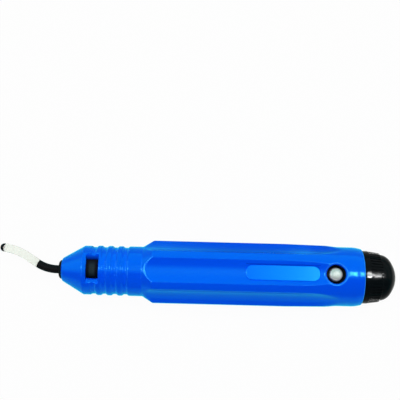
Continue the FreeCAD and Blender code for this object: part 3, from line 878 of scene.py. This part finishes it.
def shape_handle(sleeve, finish):
    """Flutes a plain turned sleeve and sinks the label recess, the thumb scoop and the rims."""
    shaper = Shaper("fluted_handle", {
        "Flutes": FLUTES,
        "Flute Radius": FLUTE_R,
        "Flute Floor": FLUTE_FLOOR_R,
        "Fade Start": FLUTE_FADE_X,
        "Fade Radius": FLUTE_FADE_R,
        "Land Rounding": LAND_ROUND,
        "Recess Middle": PANEL_MIDDLE,
        "Recess Length": PANEL_LENGTH,
        "Recess Width": PANEL_WIDTH,
        "Recess Corner": PANEL_CORNER_R,
        "Recess Floor": PANEL_FLOOR,
        "Recess Wall": PANEL_WALL,
        "Window Middle": WINDOW_X,
        "Window Length": WINDOW_LENGTH,
        "Window Width": WINDOW_WIDTH,
        "Rim Rounding": RIM_ROUND,
        "Scoop Radius": SCOOP_R,
        "Scoop Floor": SCOOP_FLOOR,
        "Catch Middle": CATCH_X,
        "Catch Hole": CATCH_HOLE_R,
        "Catch Sink": CATCH_SINK_R,
    }, finish)
    size = shaper.size
    place = shaper.add("GeometryNodeInputPosition")
    moved = shaper.add("ShaderNodeVectorMath", {"operation": "SUBTRACT"}, {0: place, 1: AXIS})
    local = shaper.add("ShaderNodeVectorMath", {"operation": "SCALE"}, {0: moved, "Scale": 1 / MM})
    x, across, height = shaper.parts(local)
    base = (across.squared() + height.squared()).root()
    turn = across.math("ARCTAN2", height)
    sine, cosine = turn.math("SINE"), turn.math("COSINE")
    on_top = cosine.math("GREATER_THAN", TOP_COSINE)
    radius = base.math("SMOOTH_MIN", flute_radius(x, turn, size), size["Land Rounding"])
    radius = sink_label(radius, x, sine, cosine, on_top, size)
    radius = sink_scoop(radius, x, sine, cosine, on_top, size)
    radius = round_window_rim(radius, x, sine, on_top, size)
    radius = sink_catch_lip(radius, x, sine, on_top, size).least(base)
    shaped = shaper.vector(x, radius * sine, radius * cosine)
    scaled = shaper.add("ShaderNodeVectorMath", {"operation": "SCALE"}, {0: shaped, "Scale": MM})
    final = shaper.add("ShaderNodeVectorMath", {"operation": "ADD"}, {0: scaled, 1: AXIS})
    inputs = {"Geometry": shaper.shape, "Position": final}
    shaper.run(sleeve, shaper.add("GeometryNodeSetPosition", None, inputs))


def bore_cutter():
    """The nose bore, the shank bush's bore and the magazine's bore, in one turned cutter."""
    step_x = WINDOW_X + BAY_LENGTH / 2 - BAY_WALL
    return lathe("bores", [
        (BODY_START - PAST_END, NOSE_BORE_R),
        (step_x, NOSE_BORE_R),
        (step_x, SHANK_BORE_R),
        (MAGAZINE_BORE_X, SHANK_BORE_R),
        (MAGAZINE_BORE_X, MAGAZINE_BORE_R),
        (BODY_END + PAST_END, MAGAZINE_BORE_R),
    ], BORE_SIDES)


def channel_cutter():
    """The open channel, with a round roof, that lets the pin of the catch out to the rear."""
    half = CHANNEL_WIDTH / 2
    ring = [(-half, CUT_FROM), (half, CUT_FROM)]
    for y in np.linspace(half, -half, CHANNEL_ROOF_POINTS):
        ring.append((y, math.sqrt(CHANNEL_ROOF_R ** 2 - y ** 2)))
    points = [(x, y, z) for x in (CATCH_X, BODY_END + PAST_END) for y, z in ring]
    return mesh_piece("channel", points, tube_faces(2, len(ring)))


def make_handle(finish):
    """The whole moulding: sleeve, flutes and hollows, then bores, bay, window, hole, channel."""
    sleeve = turned_sleeve()
    shape_handle(sleeve, finish)
    bay = box_piece("bay", WINDOW_X, BAY_LENGTH, BAY_WIDTH, BAY_FLOOR, BAY_ROOF)
    window = box_piece("window", WINDOW_X, WINDOW_LENGTH, WINDOW_WIDTH, CUT_FROM, CUT_TO,
                       WINDOW_CORNER_R)
    hole = lathe("hole", [(CUT_FROM, CATCH_HOLE_R), (CUT_TO, CATCH_HOLE_R)], BORE_SIDES, CATCH_X)
    carve(sleeve, bore_cutter(), bay, window, hole, channel_cutter())
    shade(sleeve, HANDLE_SHARP)
    return sleeve


handle = make_handle(glossy_blue())
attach(handle, "handle")
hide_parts("handle_body")

# ---- blade --------------------------------------------------------------------------------
SHANK_R = 1.6
SHANK_END = along(BLADE_HIGH)
SHANK_CHAMFER = 0.4
BEND_X = -5.25
BEND_ANGLE = 32.3           # degrees from the nose's direction to the blade's first leg
BEND_R = 15.0
BEND_STEP = 3.0             # degrees of a bend from one ring of points to the next
HOOK_LENGTH = 13.5
HOOK_ANGLE = 24.3           # degrees back from the first leg to the tip's
HOOK_R = 22.0
HOOK_STEP = 2.0
TIP_LENGTH = 5.4
TIP_STEP = 9                # degrees of the round tip from one ring to the next
TIP_END = (0.9995, 0.03)    # where the round tip closes and how thick it is, in shank radii
GROUND_START = 3.75         # from the first corner to where the ground face begins
GROUND_START_ANGLE = 25.0
GROUND_HEIGHT = 0.3
GROUND_BLOCK_TOP = 6.0
GROUND_BLOCK_WIDTH = 8.0    # each side of the blade
TIP_LEFT = 1.15             # what the grinding leaves whole at the tip
GRINDING_WHEEL_R = 1.9
GRINDING_WHEEL_STEP = 6     # degrees
LOCK_GROOVE_WIDTH = 1.3
LOCK_GROOVE_DEPTH = 0.45
LOCK_GROOVE_WALL = 0.01     # length of the groove's steep walls
WIRE_COLUMNS = 48
ON_FLAT = 0.001             # millimetres within which a face lies on the ground flat
FACES_UP = 0.9              # least upward part of such a face's direction


def blade_step(angle, distance):
    """A step in a direction turned from the nose's own towards the side that the blade bends to."""
    return Vector((-math.cos(math.radians(angle)), math.sin(math.radians(angle)))) * distance


BLADE_CORNER = Vector((BEND_X, 0))
HOOK_CORNER = BLADE_CORNER + blade_step(BEND_ANGLE, HOOK_LENGTH)
TIP_ANGLE = BEND_ANGLE - HOOK_ANGLE
TIP_START = HOOK_CORNER + blade_step(TIP_ANGLE, TIP_LENGTH)


def blade_line():
    """The blade's middle line with its radius at each point: chamfer, groove, bends and tip."""
    groove_end = WINDOW_X + LOCK_GROOVE_WIDTH / 2
    groove_start = WINDOW_X - LOCK_GROOVE_WIDTH / 2
    root_r = SHANK_R - LOCK_GROOVE_DEPTH
    line = [
        (Vector((SHANK_END, 0)), SHANK_R - SHANK_CHAMFER),
        (Vector((SHANK_END - SHANK_CHAMFER, 0)), SHANK_R),
        (Vector((groove_end + LOCK_GROOVE_WALL, 0)), SHANK_R),
        (Vector((groove_end, 0)), root_r),
        (Vector((groove_start, 0)), root_r),
        (Vector((groove_start - LOCK_GROOVE_WALL, 0)), SHANK_R),
    ]
    bend = arc_points(Vector((SHANK_END, 0)), BLADE_CORNER, HOOK_CORNER, BEND_R, BEND_STEP)
    hook = arc_points(BLADE_CORNER, HOOK_CORNER, TIP_START, HOOK_R, HOOK_STEP)
    line += [(point, SHANK_R) for point in bend + hook + [TIP_START]]
    dome = [(math.sin(turn), math.cos(turn)) for turn in np.radians(range(TIP_STEP, 90, TIP_STEP))]
    for reach, thickness in dome + [TIP_END]:
        line.append((TIP_START + blade_step(TIP_ANGLE, SHANK_R * reach), SHANK_R * thickness))
    return line


def ground_cutter():
    """The block that the flat is ground with, its outline hollowed by the wheel at the tip."""
    start = BLADE_CORNER + blade_step(BEND_ANGLE, GROUND_START)
    aside = blade_step(GROUND_START_ANGLE + 90, GROUND_BLOCK_WIDTH)
    wheel = TIP_START + blade_step(TIP_ANGLE, SHANK_R - TIP_LEFT - GRINDING_WHEEL_R)
    beside = blade_step(TIP_ANGLE + 90, GROUND_BLOCK_WIDTH)
    ring = [start - aside, start + aside, wheel + beside]
    for degrees in range(90, -91, -GRINDING_WHEEL_STEP):
        ring.append(wheel + blade_step(TIP_ANGLE + degrees, GRINDING_WHEEL_R))
    ring.append(wheel - beside)
    points = [(point.x, point.y, z) for z in (GROUND_HEIGHT, GROUND_BLOCK_TOP) for point in ring]
    return mesh_piece("grinding", points, tube_faces(2, len(ring)))


def sweep_blade(line, finish):
    """A round wire of changing thickness along a line, by a Geometry Nodes tree."""
    mesh = bpy.data.meshes.new("cutting_blade")
    points = in_place([(place.x, place.y, 0) for place, radius in line]).tolist()
    mesh.from_pydata(points, [(index, index + 1) for index in range(len(line) - 1)], [])
    thickness = mesh.attributes.new("thickness", "FLOAT", "POINT")
    thickness.data.foreach_set("value", [radius * MM for place, radius in line])
    blade = in_scene("cutting_blade", mesh)
    shaper = Shaper("wire_along_a_line", {"Sides": WIRE_COLUMNS, "Thickness": 1.0}, finish)
    curve = shaper.add("GeometryNodeMeshToCurve", None, {"Mesh": shaper.shape})
    inputs = {"Resolution": shaper.size["Sides"], "Radius": 1.0}
    circle = shaper.add("GeometryNodeCurvePrimitiveCircle", None, inputs)
    radius = shaper.add("GeometryNodeInputNamedAttribute", None, {"Name": "thickness"})
    radius = radius * shaper.size["Thickness"]
    inputs = {"Curve": curve, "Profile Curve": circle, "Scale": radius, "Fill Caps": True}
    wire = shaper.add("GeometryNodeCurveToMesh", None, inputs)
    shaper.run(blade, wire)
    tidy_normals(blade)
    return blade


def gap_to(point, start, end):
    """Distance from a point to a stretch of line."""
    run = end - start
    share = max(0.0, min(1.0, (point - start).dot(run) / max(run.length_squared, 1e-12)))
    return (start + run * share - point).length


def measure_across(blade, middle_line):
    """Stores how far each point lies from the middle line, in shank radii, for the finish."""
    across = blade.data.attributes.new("across", "FLOAT", "POINT")
    for vertex in blade.data.vertices:
        here = Vector(((vertex.co.x - AXIS.x) / MM, (vertex.co.y - AXIS.y) / MM))
        nearest = min(gap_to(here, a, b) for a, b in zip(middle_line, middle_line[1:]))
        across.data[vertex.index].value = nearest / SHANK_R


def make_blade():
    """The bent wire with its ground face, which has the bright finish."""
    line = blade_line()
    blade = sweep_blade(line, black_oxide())
    carve(blade, ground_cutter())
    mesh = blade.data
    while len(mesh.materials) > 1:      # cutting can leave an empty slot behind the first
        mesh.materials.pop()
    mesh.materials.append(ground_steel())
    flat_z = AXIS.z + GROUND_HEIGHT * MM
    for face in mesh.polygons:
        level = abs(face.center.z - flat_z) < ON_FLAT * MM
        face.material_index = 1 if level and face.normal.z > FACES_UP else 0
    measure_across(blade, [place for place, radius in line])
    shade(blade)
    return blade


blade = make_blade()
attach(blade, "blade")
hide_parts("blade")

# ---- end cap ------------------------------------------------------------------------------
CAP_START = along(CAP_LOW)
CAP_END = along(CAP_HIGH)
CAP_R = CAP_HIGH.y / MM
CAP_EDGE_ROUND = 0.25
CAP_COLLAR_END = CAP_START + 2.1
CAP_COLLAR_ROUND = 0.1
CAP_COLLAR_STEP = 0.03      # length of the steep step from the collar down to the gullets
CAP_ROOT_ROUND = 0.08
CAP_RIB_END = CAP_COLLAR_END + 4.8
CAP_CORE_R = 9.8            # bottom of the gullets, by the collar
CAP_CORE_END_R = 9.0        # and by the dome
CAP_CORE_END_ROUND = 8.0
CAP_CORNER_X = CAP_COLLAR_END + 7.6
CAP_CORNER_R = 8.45
CAP_DOME_ROUND = 5.0
CAP_CROWN_R = 3.4
CAP_CROWN_ROUND = 11.0
CAP_ROWS = 1.0              # millimetres from one row of its grid to the next
CAP_COLUMNS = 120
CAP_RIBS = 48
CAP_RIB_R = 10.1
CAP_RIB_END_R = 9.42
RIB_WIDTH = 0.74            # in shares of the pitch, by the collar
RIB_NARROWING = 0.12        # lost on the way to the dome
RIB_START = 0.05            # a rib starts this far inside the collar
RIB_SINK = 0.12             # and this far inside the dome's surface
RIB_END_RISE = 0.02         # its rounded end stays this far above its foot
RIB_END_FROM = 0.9          # share of its length where that end begins
RIB_FLANK = 0.16            # share of its half width that each flank takes
RIB_FOOT_RISE = 0.5         # share of its height that the foot of a flank stands up straight
RIB_ROWS = (0.0, 0.2, 0.4, 0.6, 0.8, 0.9, 0.95, 0.98, 1.0)
RIB_COLUMNS = (-1.0, -0.96, -0.84, -0.4, 0.0, 0.4, 0.84, 0.96, 1.0)
RIB_SHARP = 30              # degrees
STUD_R = 6.0
STUD_LENGTH = 5.0


def make_cap():
    """The dome with its collar, sunk between the ribs to the bottom of the gullets."""
    skin = outline([
        (CAP_START, STUD_R, 0),
        (CAP_START, CAP_R, CAP_EDGE_ROUND),
        (CAP_COLLAR_END, CAP_R, CAP_COLLAR_ROUND),
        (CAP_COLLAR_END + CAP_COLLAR_STEP, CAP_CORE_R, CAP_ROOT_ROUND),
        (CAP_RIB_END, CAP_CORE_END_R, CAP_CORE_END_ROUND),
        (CAP_CORNER_X, CAP_CORNER_R, CAP_DOME_ROUND),
        (CAP_END, CAP_CROWN_R, CAP_CROWN_ROUND),
        (CAP_END, POLE_R, 0),
    ], lambda x: CAP_ROWS)
    socket_end = CAP_START + STUD_LENGTH
    socket = [(socket_end, POLE_R), (socket_end, STUD_R)]
    return lathe("cap_dome", socket + [(point.x, point.y) for point in skin], CAP_COLUMNS)


def one_rib():
    """A long low rib on top of the cap, flat on top, narrower and lower towards the dome."""
    pitch = 2 * math.pi * CAP_RIB_R / CAP_RIBS
    slope = (CAP_RIB_R - CAP_RIB_END_R) / (CAP_RIB_END - CAP_COLLAR_END)
    points = []
    for share in RIB_ROWS:
        x = CAP_COLLAR_END - RIB_START + share * (CAP_RIB_END - CAP_COLLAR_END + RIB_START)
        core = CAP_CORE_R + (CAP_CORE_END_R - CAP_CORE_R) * share
        foot = core - RIB_SINK
        into_end = max(share - RIB_END_FROM, 0.0) / (1 - RIB_END_FROM)
        fullness = math.sqrt(max(1 - into_end ** 2, 0))
        full_height = CAP_RIB_R - slope * (x - CAP_COLLAR_END) - foot
        height = RIB_END_RISE + (full_height - RIB_END_RISE) * fullness
        width = pitch * (RIB_WIDTH - RIB_NARROWING * share)
        for side in RIB_COLUMNS:
            y = side * width / 2
            bend = core - math.sqrt(core ** 2 - y ** 2)
            stands = RIB_FOOT_RISE if abs(side) < 1 else 0.0
            rise = min(1.0, (1 - abs(side)) / RIB_FLANK + stands)
            points.append((x, y, foot + height * rise - bend))
    faces = tube_faces(len(RIB_ROWS), len(RIB_COLUMNS))
    return mesh_piece("cap_ribs", points, faces, RIB_SHARP)


def make_ribs(finish):
    """The rib set round the cap, by a Geometry Nodes tree."""
    rib = one_rib()
    shaper = Shaper("ribs_round_the_cap", {"Ribs": CAP_RIBS, "Axis Height": AXIS.z}, finish)
    count, height = shaper.size["Ribs"], shaper.size["Axis Height"]
    pitch = 2 * math.pi * count.math("POWER", -1)
    turn = shaper.vector(shaper.add("GeometryNodeInputIndex") * pitch, 0.0, 0.0)
    inputs = {"Count": count, "Position": shaper.vector(0.0, 0.0, height)}
    places = shaper.add("GeometryNodePoints", None, inputs)
    inputs = {"Geometry": shaper.shape, "Translation": shaper.vector(0.0, 0.0, 0 - height)}
    lowered = shaper.add("GeometryNodeTransform", None, inputs)
    inputs = {"Points": places, "Instance": lowered, "Rotation": turn}
    shaper.run(rib, shaper.add("GeometryNodeInstanceOnPoints", None, inputs))
    shade(rib, RIB_SHARP)
    return rib


cap_finish = black_plastic("cap_plastic", 0.06, 0.015)
cap = make_cap()
cap.data.materials.append(cap_finish)
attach(cap, "magazine")
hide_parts("end_cap")
ribs = make_ribs(cap_finish)
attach(ribs, "magazine")

# ---- catch pin ----------------------------------------------------------------------------
PIN_FLANGE_R = PIN_HIGH.y / MM
PIN_FLANGE_HEIGHT = 0.9
PIN_FLANGE_ROUND = 0.1
PIN_TOP = above_axis(PIN_HIGH)
PIN_BOTTOM = above_axis(PIN_LOW)
PIN_EDGE_DROP = 0.6         # from the dome's top down to its edge
PIN_EDGE_ROUND = 0.15
PIN_DOME_DROP = 0.3         # and down to where its rim turns into the crown
PIN_DOME_R = PIN_R - 0.35
PIN_DOME_ROUND = 0.5
PIN_CROWN_R = 1.3
PIN_CROWN_ROUND = 2.2
PIN_COLUMNS = 72
PIN_SHARP = 45              # degrees


def make_catch_pin():
    """The steel pin: a flanged foot and a low polished dome."""
    flange_top = PIN_BOTTOM + PIN_FLANGE_HEIGHT
    skin = outline([
        (PIN_BOTTOM, POLE_R, 0),
        (PIN_BOTTOM, PIN_FLANGE_R, PIN_FLANGE_ROUND),
        (flange_top, PIN_FLANGE_R, PIN_FLANGE_ROUND),
        (flange_top, PIN_R, 0),
        (PIN_TOP - PIN_EDGE_DROP, PIN_R, PIN_EDGE_ROUND),
        (PIN_TOP - PIN_DOME_DROP, PIN_DOME_R, PIN_DOME_ROUND),
        (PIN_TOP, PIN_CROWN_R, PIN_CROWN_ROUND),
        (PIN_TOP, POLE_R, 0),
    ])
    profile = [(point.x, point.y) for point in skin]
    return lathe("catch_pin_domed", profile, PIN_COLUMNS, CATCH_X, PIN_SHARP)


pin = make_catch_pin()
pin.data.materials.append(pin_steel())
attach(pin, "catch")
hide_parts("catch_pin")

# ---- the small pieces ---------------------------------------------------------------------
# Copies of the solids with rounded edges: body, slot, finish, millimetres of rounding.
SMALL_PIECES = {
    "nose_bush": ("handle", "bush_black", black_plastic("bush_black", 0.3, 0.02), 0.12),
    "shank_bush": ("handle", "plain_steel", turned_steel("bush_steel", 0.8), 0.1),
    "lock_button": ("lock", "black_plastic", shaded_button_plastic(), 0.6),
    "latch_plate": ("lock", "plain_steel", turned_steel("plate_steel", 0.8), 0.08),
    "magazine_tray": ("magazine", "black_plastic", black_plastic("tray_plastic", 0.4, 0.04), 0.12),
    "catch_collar": ("magazine", "black_plastic", black_plastic("collar_plastic", 0.3, 0.04), 0.1),
}
black_pieces = [cap, ribs]
for node, (body, slot, material, rounding) in SMALL_PIECES.items():
    small = smooth_copy(node, rounding)
    if "steel" not in slot:
        black_pieces.append(small)
    small.data.materials.clear()
    small.data.materials.append(material)
    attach(small, body)
    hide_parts(node)

# ---- springs ------------------------------------------------------------------------------
COIL_STEPS = 24             # lengths of wire in one turn
WIRE_SIDES = 10
WIRE_SHARP = 45             # degrees
CLOSED_PITCH = 2.05         # rise of the first and the last turn, in radii of the wire


def coil_spring(node, wire_r, turns):
    """A compression spring of round wire with closed ends, in the room of the plain one."""
    low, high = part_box(node)
    middle = along((low + high) / 2)
    coil_r = (high.x - low.x) / 2 / MM - wire_r
    bottom = above_axis(low) + wire_r
    height = (high.z - low.z) / MM - 2 * wire_r
    closed = CLOSED_PITCH * wire_r
    points = []
    for step in range(turns * COIL_STEPS + 1):
        turn = step / COIL_STEPS
        lift = np.interp(turn, (0, 1, turns - 1, turns), (0, closed, height - closed, height))
        for side in range(WIRE_SIDES):
            around = 2 * math.pi * side / WIRE_SIDES
            reach = coil_r + wire_r * math.cos(around)
            points.append((
                middle + reach * math.cos(2 * math.pi * turn),
                reach * math.sin(2 * math.pi * turn),
                bottom + lift + wire_r * math.sin(around),
            ))
    faces = tube_faces(turns * COIL_STEPS + 1, WIRE_SIDES)
    return mesh_piece(node + "_wound", points, faces, WIRE_SHARP)


# Body, the joint that presses the spring, name of its finish, radius of its wire, turns.
SPRINGS = {
    "lock_spring": ("handle", "button_press", "spring_wire", 0.2, 5),
    "catch_spring": ("magazine", "catch_press", "catch_wire", 0.22, 6),
}
for node, (body, joint, finish_name, wire_r, turns) in SPRINGS.items():
    spring = coil_spring(node, wire_r, turns)
    spring.data.materials.append(turned_steel(finish_name, 0.7))
    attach(spring, body)
    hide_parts(node)
    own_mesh(spring)

# ---- the floor ----------------------------------------------------------------------------
# Places and sizes in the room are in metres, in the frame.
FLOOR_REACH = 3.0


def make_floor():
    """A wide white sheet at z = 0. Mirrors don't show it, and light from below passes it."""
    sides = ((-1, -1), (1, -1), (1, 1), (-1, 1))
    mesh = bpy.data.meshes.new("floor")
    mesh.from_pydata([(x * FLOOR_REACH, y * FLOOR_REACH, 0) for x, y in sides], [], [(0, 1, 2, 3)])
    sheet = in_scene("floor", mesh)
    mesh.materials.append(white_floor())
    sheet.visible_glossy = False
    sheet.visible_shadow = False
    return sheet


make_floor()

# ---- lights -------------------------------------------------------------------------------
TOOL_MIDDLE = (cad_box[0] + cad_box[1]) / 2
SOFTBOX_PLACE = (0.0, 0.15, 1.1)
SOFTBOX_SIZE = (1.2, 0.6)
SOFTBOX_WATTS = 7.3
OVERHEAD = 0.7              # height of the level panels
# The highlights: name, x from and to, y from and to, radiance, the pieces that mirror the
# panel. No piece named means all of them.
HIGHLIGHTS = (
    ("rear_panel", 0.185, 0.28, -0.01, 0.165, 38.0, ()),
    ("rear_far_panel", 0.42, 0.58, 0.0, 0.19, 26.0, ()),
    ("front_panel", -0.95, -0.25, 0.02, 0.16, 14.0, ()),
    ("shoulder_panel", -0.95, -0.4, -0.6, 0.8, 3.0, (handle,)),
    ("cap_panel", 0.185, 0.28, -0.05, 0.18, 2600.0, (cap, ribs)),
    ("cap_far_panel", 0.36, 0.48, -0.05, 0.18, 2400.0, (cap, ribs)),
)
# The room that the pieces mirror is tinted for the blue. Red panels all round, mirrored in the
# black pieces alone, keep those neutral: name, centre, size, facing, radiance.
RED = (1.0, 0.03, 0.08)
BLACK_FILLS = (
    ("above", (0.0, 0.5, OVERHEAD), (1.8, 1.2), (0, 0, -1), 2.6),
    ("below", (0.0, 0.0, -0.25), (3.0, 3.0), (0, 0, 1), 1.2),
    ("north", (0.0, 1.1, 0.37), (2.2, 0.66), (0, -1, 0), 2.6),
    ("south", (0.0, -1.1, 0.45), (2.2, 0.9), (0, 1, 0), 0.4),
    ("east", (1.1, 0.5, 0.37), (1.2, 0.66), (-1, 0, 0), 2.4),
    ("west", (-1.1, 0.5, 0.37), (1.2, 0.66), (1, 0, 0), 2.4),
)


def area_light(name, place, facing, size, watts):
    """A rectangular lamp at a place, facing in a direction."""
    lamp = bpy.data.lights.new(name, "AREA")
    lamp.shape = "RECTANGLE"
    lamp.size, lamp.size_y = size
    lamp.energy = watts
    holder = in_scene(name, lamp)
    holder.location = place
    holder.rotation_euler = Vector(facing).to_track_quat("-Z", "Y").to_euler()
    return holder


def reflected_panel(name, centre, size, facing, radiance, receivers=(), colour=(1, 1, 1)):
    """A flat panel that is seen only as a reflection, in all pieces or in some."""
    watts = math.pi * size[0] * size[1] * radiance
    holder = area_light(name, centre, facing, size, watts)
    holder.data.color = colour
    holder.visible_diffuse = False
    if receivers:
        lit = bpy.data.collections.new(name + "_receivers")
        for piece in receivers:
            lit.objects.link(piece)
        holder.light_linking.receiver_collection = lit


softbox_facing = TOOL_MIDDLE - Vector(SOFTBOX_PLACE)
softbox = area_light("large_softbox", SOFTBOX_PLACE, softbox_facing, SOFTBOX_SIZE, SOFTBOX_WATTS)
softbox.visible_glossy = False
for name, x_low, x_high, y_low, y_high, radiance, receivers in HIGHLIGHTS:
    centre = ((x_low + x_high) / 2, (y_low + y_high) / 2, OVERHEAD)
    size = (x_high - x_low, y_high - y_low)
    reflected_panel(name, centre, size, (0, 0, -1), radiance, receivers)
for side, centre, size, facing, radiance in BLACK_FILLS:
    reflected_panel("black_fill_" + side, centre, size, facing, radiance, black_pieces, RED)

# ---- the world ----------------------------------------------------------------------------
ROOM_GLOW = 0.52            # what lights the pieces from all sides
MIRROR_TINT = rgb(0.06, 0.92, 0.85)
MIRROR_GLOW = 0.45          # what they mirror everywhere,
PANEL_GLOW = 2.9            # more of it above, to the north,
PAPER_GLOW = 0.95           # and more of it below
GAP_DIMMING = 0.62          # share of it lost low in the north, just east of the middle


def make_world():
    """White to the camera, a plain room to the surfaces and a tinted room to their mirrors.

    East, north and high are the three parts of a direction, each from -1 to 1.
    """
    world = bpy.data.worlds.new("studio")
    world.use_nodes = True
    studio = Nodes(world.node_tree)
    seen = studio.add("ShaderNodeLightPath", output="Is Camera Ray")
    mirrored = studio.add("ShaderNodeLightPath", output="Is Glossy Ray")
    east, north, high = studio.parts(studio.add("ShaderNodeTexCoord", output="Generated"))
    panels = north.above(-0.12, 0.3) * high.above(0.05, 0.1)
    paper = high.below(0.0, 0.12)
    gap = north.above(0.35, 0.2) * high.below(0.15, 0.1)
    gap = gap * east.above(-0.01, 0.08) * east.below(0.122, 0.02)
    strength = MIRROR_GLOW + panels * PANEL_GLOW + paper * PAPER_GLOW
    strength = strength * (1 - gap * GAP_DIMMING)
    soft = studio.add("ShaderNodeBackground", None, {"Strength": ROOM_GLOW})
    inputs = {"Color": MIRROR_TINT, "Strength": strength}
    mirror = studio.add("ShaderNodeBackground", None, inputs)
    inputs = {"Color": rgb(1.0, 1.0, 1.0), "Strength": 1.0}
    white = studio.add("ShaderNodeBackground", None, inputs)
    both = studio.add("ShaderNodeMixShader", None, {0: mirrored, 1: soft, 2: mirror})
    both = studio.add("ShaderNodeMixShader", None, {0: seen, 1: both, 2: white})
    studio.add("ShaderNodeOutputWorld", None, {"Surface": both})
    return world


bpy.context.scene.world = make_world()

# ---- the camera ---------------------------------------------------------------------------
CAMERA_ELEVATION = math.radians(80.0)
CAMERA_ROLL = math.radians(1.49)
CAMERA_DISTANCE = 0.2995
CAMERA_LENS = 69.3
CAMERA_SENSOR = 36.0
CAMERA_NEAR = 0.01          # nothing nearer than this is drawn
LOOK_AT = AXIS + Vector((0.05386, 0.02792, 0.00495))


def make_camera():
    """A camera above the tool, leaning a little towards its near side."""
    sine, cosine = math.sin(CAMERA_ELEVATION), math.cos(CAMERA_ELEVATION)
    back = Vector((0, -cosine, sine))
    level_up = Vector((0, sine, cosine))
    right = Vector((1, 0, 0)) * math.cos(CAMERA_ROLL) + level_up * math.sin(CAMERA_ROLL)
    data = bpy.data.cameras.new("camera")
    data.lens = CAMERA_LENS
    data.sensor_width = CAMERA_SENSOR
    data.clip_start = CAMERA_NEAR
    camera = in_scene("camera", data)
    turn = Matrix((right, back.cross(right), back)).transposed().to_4x4()
    camera.matrix_world = Matrix.Translation(LOOK_AT + back * CAMERA_DISTANCE) @ turn
    return camera


bpy.context.scene.camera = make_camera()
bpy.context.scene.view_settings.view_transform = "Standard"
